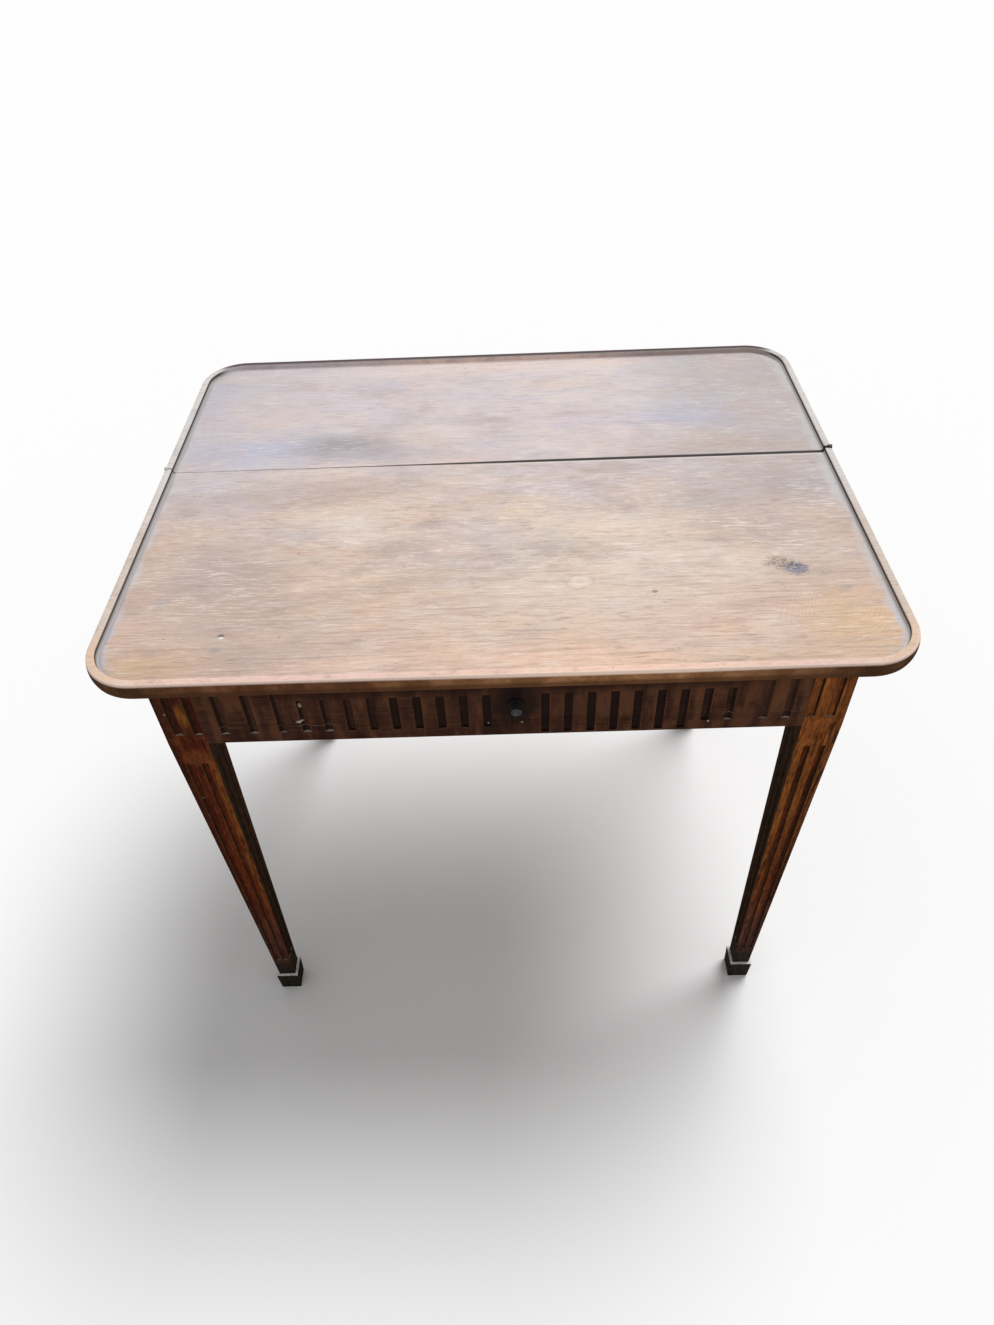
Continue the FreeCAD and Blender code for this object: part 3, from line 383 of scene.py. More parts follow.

# %% [markdown]
# The two leaves show the oldest surface of the table: a dry, rubbed, half bleached wood, rosy grey in the
# middle and amber towards the front edge. Blue-grey and lilac on the rear leaf are painted sheen of the sky.
# First comes the broad fading, then a cloud of each tone drifting through it. Shifting the noise gives
# each tone clouds of its own.

# %% Finish of the two leaves: the fading
MIDDLE_TONE, REAR_TONE_AND_SHEEN, FRONT_TONE = (0.60, 0.48, 0.42), (0.635, 0.56, 0.56), (0.72, 0.51, 0.40)
LEFT_END, RIGHT_END, FRONT_END = (0.55, 0.51, 0.55), (0.45, 0.405, 0.405), (0.58, 0.425, 0.345)
BLEACHED, ROSE, AMBER = (0.78, 0.65, 0.55), (0.72, 0.52, 0.455), (0.71, 0.48, 0.29)
UMBER, SMOKE, BLUE_REFLECTION = (0.47, 0.375, 0.345), (0.36, 0.325, 0.345), (0.49, 0.485, 0.58)
HONEY, ASH, LILAC_SHEEN = (0.75, 0.56, 0.41), (0.55, 0.49, 0.485), (0.66, 0.56, 0.61)
DUSK, PALE_ROSE, STONE = (0.50, 0.44, 0.45), (0.69, 0.575, 0.56), (0.62, 0.52, 0.49)
REAR_SHEEN, FRONT_WARMTH, LEFT_SHADE = (0.60, 0.555, 0.60), (0.76, 0.50, 0.355), (0.49, 0.365, 0.345)
top_wood, top, place = start_finish(
    "old_top", Specular_IOR_Level=0.3, Coat_Roughness=0.35, Coat_Weight=0.04
)
x, y, z = top.split(place)
to_rear = top.step(y, -0.16, 0.02)
to_front = top.step(y, 0.05, -0.12)


def clouds(shift, scale, detail, roughness, stretch=(0.7, 1.6, 1)):
    return top.noise(top.vector("ADD", place, (shift, 0, 0)), scale, detail, roughness, 0.5, stretch)


# The rear leaf's tone is partly its wood and partly a painted sheen of the sky.
colour = top.over(top.step(y, -0.06, 0.14), MIDDLE_TONE, REAR_TONE_AND_SHEEN)
colour = top.over(top.step(y, -0.14, -0.35), colour, FRONT_TONE)
# Lilac clouds on the rear leaf, here and on the cool side below, are painted sheen.
for shift, tone, scale, share, where in (
    (0, BLEACHED, 13, 0.5, 1.0), (3, ROSE, 15, 0.5, 1.0), (6, UMBER, 12, 0.6, 1.0),
    (9, BLEACHED, 34, 0.4, 1.0), (12, HONEY, 8, 0.6, to_front), (15, ASH, 8, 0.55, 1.0),
    (18, LILAC_SHEEN, 9, 0.5, to_rear), (27, DUSK, 28, 0.4, to_rear),
):
    cloud = top.step(clouds(shift, scale, 5.0, 0.62), 0.50, 0.66, share)
    colour = top.over(top.times(cloud, where), colour, tone)
warm = top.over(to_rear, HONEY, PALE_ROSE)
cool = top.over(to_rear, STONE, LILAC_SHEEN)
for shift, scale, high, low in ((21, 7, warm, cool), (24, 9, BLEACHED, UMBER)):
    cloud = clouds(shift, scale, 4.0, 0.6)
    colour = top.over(top.step(cloud, 0.52, 0.66, 0.65), colour, high)
    colour = top.over(top.step(cloud, 0.48, 0.34, 0.65), colour, low)
colour = top.layers(
    colour,
    # Painted sheen over the rear leaf.
    (top.step(y, 0.02, 0.08, 0.35), REAR_SHEEN),
    (top.step(y, -0.14, -0.28, 0.28), FRONT_WARMTH),
    (top.times(top.step(x, -0.12, -0.32, 0.3), to_front), LEFT_SHADE),
    (top.times(top.step(x, -0.22, -0.42, 0.65), to_rear), LEFT_END),
    (top.times(top.step(x, 0.18, 0.34, 0.78), to_rear), RIGHT_END),
    (top.times(top.step(top.absolute(x), 0.20, 0.42, 0.6), to_front), FRONT_END),
)
tell("leaves: fading", top.tree)

# %% [markdown]
# On top of the clouds lie the places that are only here: bleached rings of use in the front leaf, smoke
# and a painted blue sky reflection on the rear one, painted sheen along the rear rim, and amber in the
# front corners. Each is a soft patch, given by its centre, its size and its strength. A last slow cloud
# makes the whole warmer here and cooler there.

# %% Finish of the two leaves: the patches
FIELD_Z = 0.743
PATCH_DEPTH = 0.2
FRONT_GLOW, REAR_EDGE_SHEEN = (0.84, 0.57, 0.44), (0.78, 0.65, 0.615)
COOL_TINT, WARM_TINT = (0.955, 1.0, 1.05), (1.045, 1.0, 0.95)


def field_spot(centre, size, soft, ragged):
    return spot(top, place, (*centre, FIELD_Z), (*size, PATCH_DEPTH), soft, ragged)


# Blue patches on the rear leaf: painted sky reflection; the pale band by the rear rim: painted sheen.
for tone, patches in (
    (BLEACHED, [((-0.177, -0.098), (0.06, 0.05), 0.6), ((0.14, -0.105), (0.17, 0.055), 0.8),
        ((0.09, -0.235), (0.18, 0.09), 0.6), ((0.29, -0.195), (0.06, 0.04), 0.45),
        ((-0.09, 0.14), (0.11, 0.045), 0.55)]),
    (REAR_EDGE_SHEEN, [((-0.06, 0.325), (0.40, 0.045), 0.75)]),
    (SMOKE, [((-0.231, 0.110), (0.13, 0.05), 0.95), ((-0.14, 0.085), (0.13, 0.03), 0.4),
        ((0.394, -0.024), (0.08, 0.06), 0.45)]),
    (BLUE_REFLECTION, [((-0.345, 0.105), (0.12, 0.06), 0.75), ((-0.439, 0.25), (0.05, 0.09), 0.6),
        ((0.28, 0.158), (0.11, 0.045), 0.7), ((0.30, 0.20), (0.10, 0.05), 0.3)]),
    (UMBER, [((-0.335, -0.19), (0.13, 0.10), 0.85), ((-0.278, -0.316), (0.11, 0.04), 0.5),
        ((0.335, -0.115), (0.09, 0.05), 0.6), ((-0.10, -0.20), (0.14, 0.02), 0.4),
        ((-0.25, 0.0), (0.20, 0.06), 0.6), ((0.33, 0.075), (0.16, 0.05), 0.5)]),
    (AMBER, [((0.412, -0.290), (0.12, 0.085), 0.95), ((0.25, -0.345), (0.26, 0.035), 0.45),
        ((-0.395, -0.330), (0.09, 0.035), 0.6)]),
    (FRONT_GLOW, [((0.03, -0.340), (0.32, 0.040), 0.6)]),
):
    for centre, size, share in patches:
        colour = top.over(top.times(field_spot(centre, size, 0.9, 0.9), share), colour, tone)
warmth = top.step(clouds(30, 9.0, 4.0, 0.6, (0.8, 1.5, 1)), 0.25, 0.75)
colour = top.vector("MULTIPLY", colour, top.over(warmth, COOL_TINT, WARM_TINT))
tell("leaves: patches", top.tree)

# %% [markdown]
# The grain is short and fine: pale dashes where the polish is rubbed through, dark ones where dirt sits in
# the open wood. They come in drifts, so a slow noise says which of the two a place has more of. The front
# leaf is drier and shows them more.

# %% Finish of the two leaves: the grain
DARK_GRAIN, PALE_GRAIN, PORE = (0.40, 0.285, 0.23), (0.87, 0.76, 0.67), (0.25, 0.17, 0.135)
KNOT, SWIRL = (0.096, -0.206), (0.385, -0.270)
wood = top.effect(wood_grain, Vector=place, Stretch=(0.8, 9, 9))
drift = top.noise(place, 14.0, 4.0, 0.6, stretch=(0.8, 2.0, 1))
dry = top.plus(top.step(y, 0.10, -0.05, 0.42), 0.80)
dark_grain = top.times(top.step(wood["Streaks"], 0.50, 0.66), top.step(drift, 0.30, 0.65, 0.65), dry)
pale_grain = top.times(top.step(wood["Streaks"], 0.48, 0.34), top.step(drift, 0.65, 0.35, 0.65), dry)
long_lines = top.noise(place, 30.0, 4.0, 0.6, 0.4, (0.3, 9, 1))
colour = top.layers(
    colour,
    (top.step(wood["Figure"], 0.55, 0.72, 0.35), UMBER),
    (dark_grain, DARK_GRAIN),
    (pale_grain, PALE_GRAIN),
    (top.times(wood["Dashes"], top.step(drift, 0.7, 0.4, 0.7), dry), PALE_GRAIN),
    (top.times(wood["Pores"], dry, 0.5), PORE),
    (top.times(top.step(long_lines, 0.55, 0.63, 0.4), top.step(y, -0.10, -0.22)), DARK_GRAIN),
    (top.times(field_spot(KNOT, (0.020, 0.015), 0.8, 0.2), 0.55), PALE_GRAIN),
)
for centre, size, count, share in ((KNOT, (0.026, 0.020), 2.0, 0.22), (SWIRL, (0.10, 0.10), 22.0, 0.16)):
    wide = (*size, PATCH_DEPTH)
    turns = top.effect(rings, Vector=place, Centre=(*centre, FIELD_Z), Size=wide, Count=count)["Mask"]
    colour = top.over(top.times(turns, share), colour, DARK_GRAIN)
tell("leaves: grain", top.tree)

# %% [markdown]
# The marks have their own places: an ink stain with its splashes near the right end, a chip and a bruise
# near the front left corner, and a few soft spots. Ink soaks in unevenly, so a fine noise breaks it up.

# %% Finish of the two leaves: the marks
INK, BLUE_INK, HATCH = (0.085, 0.09, 0.115), (0.13, 0.145, 0.21), (0.22, 0.16, 0.125)
OLIVE, BRUISE, CHIP = (0.36, 0.33, 0.26), (0.40, 0.335, 0.325), (0.88, 0.85, 0.80)
PINHOLE = (0.16, 0.12, 0.11)
soaked = top.step(top.noise(place, 330.0, 3.0, 0.6, stretch=(0.7, 1.6, 1)), 0.36, 0.58)
ink_stain = [
    ((0.337, -0.181), (0.024, 0.016), 0.85, HATCH),
    ((0.356, -0.193), (0.021, 0.016), 0.95, BLUE_INK),
    ((0.350, -0.187), (0.016, 0.008), 0.85, INK),
    ((0.381, -0.200), (0.018, 0.010), 0.70, OLIVE),
]
small_marks = [
    ((0.357, -0.195), (0.014, 0.010), 0.45, BLUE_INK),
    ((0.182, -0.227), (0.005, 0.0035), 0.60, INK),
    ((0.404, -0.230), (0.009, 0.006), 0.60, BRUISE),
    ((0.171, -0.254), (0.009, 0.004), 0.45, BRUISE),
    ((-0.319, -0.304), (0.009, 0.006), 0.70, BRUISE),
    ((-0.399, -0.218), (0.016, 0.013), 0.45, BRUISE),
    ((-0.408, -0.039), (0.022, 0.014), 0.50, BRUISE),
    ((-0.392, -0.306), (0.011, 0.006), 0.40, BRUISE),
    ((-0.3165, -0.2805), (0.0055, 0.0038), 0.80, INK),
    ((-0.3160, -0.2840), (0.0045, 0.0026), 0.85, CHIP),
]
for marks, soft, broken in ((ink_stain, 0.6, soaked), (small_marks, 0.55, 1.0)):
    for centre, size, share, tone in marks:
        colour = top.over(top.times(field_spot(centre, size, soft, 1.3), broken, share), colour, tone)
colour = top.over(top.times(specks(top, place, 60.0, 0.14, 0.10), 0.6), colour, PINHOLE)
tell("leaves: marks", top.tree)

# %% [markdown]
# Beside the rim the field carries a painted reflection of the sky, pale and grey-blue; against the rim
# itself lie dirt and painted shade, and a painted shadow along the rear rim. The seam is a hair line on
# the left; on the right the leaves have warped apart, it gapes, and it is black, with a worn pale edge in
# front of it.

# %% Finish of the two leaves: rim and seam
SEAM_Y = 0.0565
RIM_REFLECTION_DARK, RIM_REFLECTION_PALE, RIM_REFLECTION_BLUE = (0.52, 0.51, 0.53), (0.64, 0.61, 0.61), (0.52, 0.56, 0.66)
RIM_DIRT_AND_SHADE, REAR_RIM_SHADOW, SEAM_BLACK = (0.27, 0.22, 0.20), (0.36, 0.28, 0.265), (0.035, 0.028, 0.026)
SEAM_EDGE, UNDER_DARK, UNDER_LIGHT = (0.84, 0.75, 0.69), (0.13, 0.06, 0.035), (0.24, 0.12, 0.07)
inset = top.effect(tray_edge, Vector=place)["Inset"]
rubbed = top.noise(place, 18.0, 4.0)
away_from_front = top.step(y, -0.350, -0.315)
streaked = top.noise(place, 45.0, 4.0, 0.65, stretch=(1, 0.5, 1))
ragged = top.plus(inset, top.times(top.less(streaked, 0.5), 0.05))
ragged = top.plus(ragged, top.step(x, 0.1, -0.1, 0.004))
at_ends = top.step(top.absolute(x), 0.405, 0.43)
# A pale grey-blue strip beside the rim at the ends: painted reflection of the sky.
rim_reflection = top.times(top.step(ragged, 0.029, 0.016, 0.7), at_ends, away_from_front)
rim_reflection_tone = top.over(top.step(y, -0.22, -0.30), top.over(rubbed, RIM_REFLECTION_DARK, RIM_REFLECTION_PALE), RIM_REFLECTION_BLUE)
# Dirt and painted shade against the rim, left out at the front and at the right end.
rim_dirt_and_shade = top.step(top.plus(inset, top.times(rubbed, 0.006)), 0.0215, 0.0165, 0.5)
from_seam = top.absolute(top.less(y, SEAM_Y))
in_front = top.times(top.step(x, -0.10, 0.10), top.step(y, SEAM_Y, SEAM_Y - 0.0005))
gape = top.less(from_seam, top.step(x, -0.36, 0.16, 0.0026))
colour = top.layers(
    colour,
    (rim_reflection, rim_reflection_tone),
    (top.times(rim_dirt_and_shade, away_from_front, top.step(x, 0.40, 0.30)), RIM_DIRT_AND_SHADE),
    # A painted shadow of the rear rim on the field.
    (top.step(top.plus(y, top.times(rubbed, 0.002)), 0.3475, 0.3505, 0.3), REAR_RIM_SHADOW),
    (top.times(top.step(from_seam, 0.0085, 0.0030, 0.6), in_front), SEAM_EDGE),
    (top.times(top.step(gape, 0.0012, 0.0002), top.step(x, -0.50, 0.05)), SEAM_BLACK),
    (top.step(z, FIELD_Z - 0.0006, FIELD_Z - 0.001), top.over(wood["Figure"], UNDER_DARK, UNDER_LIGHT)),
)
height = top.less(top.times(wood["Streaks"], 0.5), wood["Pores"])
rough = top.plus(top.times(wood["Streaks"], 0.3), 0.46)
top.show(Base_Color=colour, Roughness=rough, Normal=top.bump(height, 0.15, 0.0006))
tell("leaves: rim and seam", top.tree)

# %% [markdown]
# The rim is a moulding stuck round the leaves: a rounded nose outside, a flat worn crown, and a steep wall
# down to the field. Hands have rubbed the crown pale, palest along the front, whose outer edge also carries
# a painted highlight; the dark rear crown is painted shade. The wall holds soot and painted shade above,
# and dust with a painted sky reflection below; at the right its lower part, and at the rear all of it, are
# painted light. A point's zone follows from how far in from the outline it is and how high.

# %% Finish of the rim: crown and wall
FRONT_CROWN_LEFT, FRONT_CROWN_RIGHT = (0.81, 0.575, 0.49), (0.90, 0.62, 0.49)
SIDE_CROWN, NEAR_CROWN, CORNER_CROWN = (0.68, 0.655, 0.64), (0.65, 0.56, 0.49), (0.76, 0.55, 0.41)
WEAR_AND_HIGHLIGHT_LEFT, WEAR_AND_HIGHLIGHT_RIGHT, REAR_CROWN_SHADE = (0.86, 0.66, 0.57), (0.98, 0.76, 0.63), (0.12, 0.09, 0.09)
WALL_SOOT_AND_SHADE, NEAR_WALL_SOOT_AND_SHADE, WALL_DUST_AND_REFLECTION = (0.040, 0.038, 0.040), (0.085, 0.062, 0.05), (0.50, 0.475, 0.485)
WALL_FOOT, RIGHT_WALL_LIGHT = (0.36, 0.35, 0.35), (0.72, 0.69, 0.67)
rim_wood, rim, place = start_finish(
    "old_rim", Specular_IOR_Level=0.0, Coat_Roughness=0.4, Coat_Weight=0.03
)
x, y, z = rim.split(place)
inset = rim.effect(tray_edge, Vector=place)["Inset"]
wood = rim.effect(wood_grain, Vector=place, Stretch=(1.5, 7, 9))
rubbed = rim.noise(place, 34.0, 5.0, 0.65)
rightward = rim.times(rim.step(x, -0.20, 0.10), rim.step(x, 0.38, 0.16))

in_line = rim.times(rim.step(y, -0.345, -0.352), rim.step(rim.absolute(x), 0.43, 0.36))
# The outer edge of the front crown is worn pale and brightened further with a painted highlight.
worn_edge_and_highlight = rim.times(rim.step(inset, 0.0045, 0.0025), rim.step(y, -0.30, -0.352), 0.85)
crown = rim.layers(
    rim.over(rim.step(y, 0.05, -0.15), SIDE_CROWN, NEAR_CROWN),
    (rim.step(y, -0.25, -0.32), CORNER_CROWN),
    (in_line, rim.over(rightward, FRONT_CROWN_LEFT, FRONT_CROWN_RIGHT)),
    (rim.step(wood["Streaks"], 0.50, 0.66, 0.35), (0.45, 0.34, 0.28)),
    (rim.step(wood["Streaks"], 0.46, 0.34, 0.4), (0.88, 0.75, 0.66)),
    (rim.step(rubbed, 0.52, 0.72, 0.5), (0.40, 0.30, 0.25)),
    (rim.step(rubbed, 0.46, 0.32, 0.4), (0.86, 0.70, 0.61)),
    (worn_edge_and_highlight, rim.over(rightward, WEAR_AND_HIGHLIGHT_LEFT, WEAR_AND_HIGHLIGHT_RIGHT)),
    # The dark rear crown is painted shade.
    (rim.times(rim.step(y, 0.335, 0.352), rim.step(inset, 0.0112, 0.0095)), REAR_CROWN_SHADE),
)

# The rear wall is painted pale: painted light.
far = rim.step(y, 0.330, 0.345)
far_wall_light = rim.layers(
    rim.over(rim.step(x, -0.05, -0.30), (0.88, 0.70, 0.63), (0.68, 0.62, 0.65)),
    (rim.step(x, 0.08, 0.28), (0.50, 0.42, 0.40)),
    (rim.step(rubbed, 0.48, 0.66, 0.4), (0.44, 0.34, 0.34)),
)
# Upper walls: soot with painted shade on the sides, painted light at the rear.
soot_and_painted_light = rim.over(far, rim.over(rim.step(y, -0.10, -0.24), WALL_SOOT_AND_SHADE, NEAR_WALL_SOOT_AND_SHADE), far_wall_light)
# Lower walls: dust with a painted reflection of the sky on the sides, painted light at the rear.
dusty = rim.over(far, WALL_DUST_AND_REFLECTION, far_wall_light)
# The right wall below the soot is painted light.
right_wall = rim.times(rim.step(x, 0.30, 0.44, 0.6), rim.step(far, 0.6, 0.2))
wall = rim.layers(
    rim.over(far, WALL_FOOT, dusty),
    (rim.step(inset, 0.0112, 0.0140), dusty),
    (right_wall, RIGHT_WALL_LIGHT),
    (rim.step(z, 0.7455, 0.7468), soot_and_painted_light),
)
colour = rim.over(rim.step(inset, 0.0106, 0.0110), crown, wall)
tell("rim: crown and wall", rim.tree)

# %% [markdown]
# The nose is still dark brown, lightest in the middle of the front, and splintered here and there. The
# seam cuts through the whole rim; it is wider at the right end, where the leaves have warped apart.

# %% Finish of the rim: nose and seam
SPLINTER, NOSE_FOOT, RIM_SEAM = (0.62, 0.47, 0.33), (0.060, 0.024, 0.011), (0.03, 0.025, 0.023)
RIM_PORE, RIM_BRUISE = (0.09, 0.05, 0.035), (0.10, 0.055, 0.035)
mottle = rim.step(rubbed, 0.38, 0.66)
nose_dark = rim.over(mottle, (0.10, 0.040, 0.018), (0.20, 0.088, 0.040))
nose_light = rim.over(mottle, (0.22, 0.10, 0.042), (0.40, 0.20, 0.09))
nose_corner = rim.over(mottle, (0.055, 0.027, 0.012), (0.12, 0.058, 0.026))
nose = rim.layers(
    rim.over(rightward, nose_dark, nose_light),
    (rim.step(rim.absolute(x), 0.33, 0.42), nose_corner),
    (rim.times(specks(rim, place, 48.0, 0.22, 0.10), 0.7), SPLINTER),
    (rim.step(z, 0.7415, 0.7345, 0.75), NOSE_FOOT),
)
level = rim.plus(z, rim.times(rightward, 0.0015))
on_nose = rim.times(rim.step(inset, 0.0070, 0.0045), rim.step(level, 0.7486, 0.7458))
from_seam = rim.absolute(rim.less(y, SEAM_Y))
gape = rim.less(from_seam, rim.step(x, -0.2, 0.3, 0.0022))
colour = rim.layers(
    colour,
    (on_nose, nose),
    (rim.step(gape, 0.0016, 0.0006, 0.95), RIM_SEAM),
    (rim.times(wood["Pores"], 0.35), RIM_PORE),
    (rim.times(specks(rim, place, 110.0, 0.2, 0.16), 0.5), RIM_BRUISE),
)
rough = rim.plus(rim.times(rubbed, 0.3), 0.42)
rim.show(Base_Color=colour, Roughness=rough, Normal=rim.bump(rubbed, 0.15, 0.0008))
tell("rim: nose and seam", rim.tree)

# %% [markdown]
# Apron and legs kept their dark polish. Two things bring such a surface to life: the flutes, which hold
# long years of wax and soot and carry painted shade, blackest on their outer side, and the arrises, which
# handling has worn back to brown. Both come from the mesh: a point attribute named hollow says how deep a
# point lies in a flute, and a face attribute named arris marks the eased edges.

# %% Finish shared by apron and legs
DARK_STREAK = (0.012, 0.0055, 0.0035)


def facing(dark):
    return dark.split(dark.add("TexCoord").outputs["Normal"])


def soot_and_shade_side(dark, place):
    """Where flutes darken with soot and painted shade: on their outer side; in mid front, and at the sides,
    all over.
    """
    across = dark.split(place)[0]
    face = facing(dark)
    turned_in = dark.times(face[0], dark.maths("SIGN", across), -1.0)
    even = dark.step(dark.absolute(dark.less(across, 0.03)), 0.24, 0.14)
    even = dark.larger(even, dark.step(dark.absolute(face[1]), 0.7, 0.5))
    return dark.larger(dark.step(turned_in, -0.10, 0.35), even)


def dark_polish(name, stretch, deep, light, worn, soot_and_painted_light, soot_and_shade_share):
    material, dark, place = start_finish(
        name, Specular_IOR_Level=0.0, Coat_Roughness=0.4, Coat_Weight=0.03
    )
    wood = dark.effect(wood_grain, Vector=place, Stretch=stretch)
    blotch = dark.noise(place, 22.0, 5.0, 0.62, 0.3)
    hollow = dark.add("Attribute", attribute_name="hollow").outputs["Fac"]
    arris = dark.add("Attribute", attribute_name="arris").outputs["Fac"]
    colour = dark.layers(
        dark.over(dark.step(wood["Figure"], 0.35, 0.65), deep, light),
        (dark.step(blotch, 0.5, 0.75, 0.5), deep),
        (dark.step(wood["Streaks"], 0.50, 0.72, 0.6), DARK_STREAK),
        (dark.step(wood["Streaks"], 0.46, 0.30, 0.5), worn),
        (dark.times(arris, dark.step(blotch, 0.35, 0.6, 0.7)), worn),
        # Soot in the flutes, with painted shade.
        (dark.times(dark.step(hollow, 0.08, 0.55, soot_and_shade_share), soot_and_shade_side(dark, place)), soot_and_painted_light),
        (dark.times(specks(dark, place, 40.0, 0.10, 0.09), 0.6), worn),
    )
    height = dark.less(wood["Streaks"], dark.times(wood["Pores"], 0.7))
    rough = dark.plus(dark.times(blotch, 0.3), 0.38)
    dark.show(Roughness=rough, Normal=dark.bump(height, 0.15, 0.0005))
    return material, dark, place, colour, hollow, blotch


print("dark polish is ready")

# %% [markdown]
# The apron differs from place to place: it is browner in its right half, nearly black round the knob, and
# chipped to the pale wood along its lower edge; along its top lies painted shade from the overhang. The
# little shelves at the feet of the flutes are pale near the ends, with dust and painted light on their
# upward faces.

# %% Finish of the apron
FRONT_Y = -0.3473
FRIEZE_TONES = ((0.030, 0.0115, 0.0075), (0.064, 0.026, 0.0155), (0.14, 0.062, 0.032))
FRIEZE_SOOT_AND_SHADE, FRIEZE_BROWN = (0.0105, 0.0075, 0.0075), (0.115, 0.048, 0.025)
PALE_LAND, DARK_LAND = (0.125, 0.050, 0.022), (0.022, 0.0095, 0.0075)
OVERHANG_SHADE, SHELF_DUST_AND_LIGHT, PALE_CHIP = (0.020, 0.0095, 0.0065), (0.55, 0.51, 0.46), (0.50, 0.43, 0.31)
CHIPS = [
    ((-0.2274, 0.6922), (0.0022, 0.0046), 0.8),
    ((-0.2311, 0.6676), (0.0050, 0.0024), 0.8),
    ((-0.0167, 0.6528), (0.0015, 0.0024), 0.7),
    ((0.0218, 0.6562), (0.0016, 0.0013), 0.7),
    ((0.2351, 0.6484), (0.0017, 0.0018), 0.8),
]


def frieze_polish(name, stretch):
    material, dark, place, colour, hollow, blotch = dark_polish(
        name, stretch, *FRIEZE_TONES, FRIEZE_SOOT_AND_SHADE, 0.8
    )
    x, _, z = dark.split(place)
    land = dark.larger(dark.step(hollow, 0.3, 0.05), dark.step(x, 0.260, 0.285, 0.40))
    each_land = dark.noise(place, 60.0, 2.0, stretch=(1, 1, 0.2))
    browner = dark.times(dark.step(x, 0.02, 0.14, 0.6), land, dark.step(blotch, 0.62, 0.40))
    # Painted shade under the overhang of the top.
    overhang_shade = dark.times(dark.step(z, 0.698, 0.714, 0.7), dark.step(dark.absolute(x), 0.33, 0.22))
    # Shelves: dust and painted light on their upward faces.
    shelf = dark.times(dark.step(hollow, 0.02, 0.2), dark.step(facing(dark)[2], 0.5, 0.8))
    near_ends = dark.larger(dark.step(x, -0.185, -0.195), dark.step(x, 0.245, 0.26))
    round_knob = spot(dark, place, (0.0155, FRONT_Y, 0.687), (0.042, 0.02, 0.045), 0.6, 0.5)
    colour = dark.layers(
        colour,
        (browner, FRIEZE_BROWN),
        (dark.times(dark.step(each_land, 0.50, 0.66), land, 0.6), PALE_LAND),
        (dark.times(dark.step(each_land, 0.48, 0.34), land, 0.6), DARK_LAND),
        (overhang_shade, OVERHANG_SHADE),
        (dark.times(shelf, near_ends, dark.step(blotch, 0.3, 0.55, 0.85)), SHELF_DUST_AND_LIGHT),
        (dark.times(round_knob, 0.85), FRIEZE_SOOT_AND_SHADE),
    )
    for (across, up), (wide, tall), share in CHIPS:
        chip = spot(dark, place, (across, FRONT_Y, up), (wide, 0.006, tall), 0.5, 1.8)
        colour = dark.over(dark.times(chip, share), colour, PALE_CHIP)
    dark.show(Base_Color=colour)
    return material


front_polish = frieze_polish("frieze_across", (0.8, 8, 8))
side_polish = frieze_polish("frieze_lengthwise", (8, 0.8, 8))
tell("apron finish", front_polish.node_tree)

# %% [markdown]
# The legs kept the most colour. Their outer faces are a reddish orange brown with worn arrises, redder on
# the left and more golden on the right, and the faces towards the middle of the table are painted nearly
# black as painted shade. Where a point is on its leg is measured in half widths of the taper at its height.

# %% Finish of the legs: the faces
CENTRE_Y = -0.0535
LEG_CENTRE_X, LEG_CENTRE_Y = 0.36815, 0.27055
LEG_SIZE, ANKLE_SIZE, ANKLE_Z, BLOCK_Z = 0.0465, 0.0257, 0.041, 0.635
LEG_TONES = ((0.045, 0.0095, 0.0035), (0.145, 0.036, 0.009), (0.28, 0.105, 0.028))
LEG_SOOT_AND_SHADE, LEG_SHADE, STREAK_DIRT = (0.020, 0.0070, 0.0035), (0.016, 0.0125, 0.0085), (0.026, 0.0085, 0.0045)
GOLD, LEFT_RED, UPPER_TONE = (0.24, 0.085, 0.018), (0.075, 0.0125, 0.007), (0.20, 0.062, 0.018)
OUTER_DARK, INNER_GOLD, RIGHT_GLOW = (0.022, 0.0085, 0.005), (0.21, 0.080, 0.016), (0.27, 0.092, 0.024)
leg_polish, dark, place, colour, hollow, blotch = dark_polish(
    "leg_upright", (8, 8, 0.6), *LEG_TONES, LEG_SOOT_AND_SHADE, 0.6
)
x, y, z = dark.split(place)
facing_x, facing_y, facing_up = facing(dark)
along = dark.less(y, CENTRE_Y)
inward_x = dark.times(facing_x, dark.maths("SIGN", x), -1.0)
inward_y = dark.times(facing_y, dark.maths("SIGN", along), -1.0)
# Painted shade: faces turned to the middle of the table are painted nearly black.
shaded = dark.step(dark.larger(inward_x, inward_y), 0.45, 0.75, 0.85)
lit = dark.step(shaded, 0.3, 0.0)
on_left = dark.step(x, 0.1, -0.1)
on_right = dark.step(x, -0.1, 0.1)
long_streaks = dark.noise(place, 16.0, 4.0, 0.6, stretch=(9, 9, 0.5))
broken = dark.noise(place, 34.0, 4.0, 0.6, stretch=(9, 9, 0.8))
land = dark.larger(dark.step(hollow, 0.4, 0.1), dark.times(on_right, 0.65, dark.step(z, 0.60, 0.66)))
golden = dark.plus(dark.times(on_right, 0.6), 0.4)
half = dark.plus(dark.step(z, ANKLE_Z, BLOCK_Z, (LEG_SIZE - ANKLE_SIZE) / 2), ANKLE_SIZE / 2)
outward = dark.maths("DIVIDE", dark.less(dark.absolute(x), LEG_CENTRE_X), half)
forward = dark.maths("DIVIDE", dark.less(dark.absolute(along), LEG_CENTRE_Y), half)
outer_strip = dark.times(dark.step(outward, 0.40, 1.0, 0.75), dark.step(dark.absolute(facing_y), 0.5, 0.8))
inner_strip = dark.times(dark.step(outward, -0.45, -0.75, 0.6), dark.step(forward, 0.75, 0.95))
on_taper = dark.times(dark.step(z, 0.16, 0.34), dark.step(z, 0.64, 0.58))
right_glow = dark.times(on_right, 0.5, dark.step(z, 0.26, 0.50), lit, land, dark.step(broken, 0.36, 0.54))
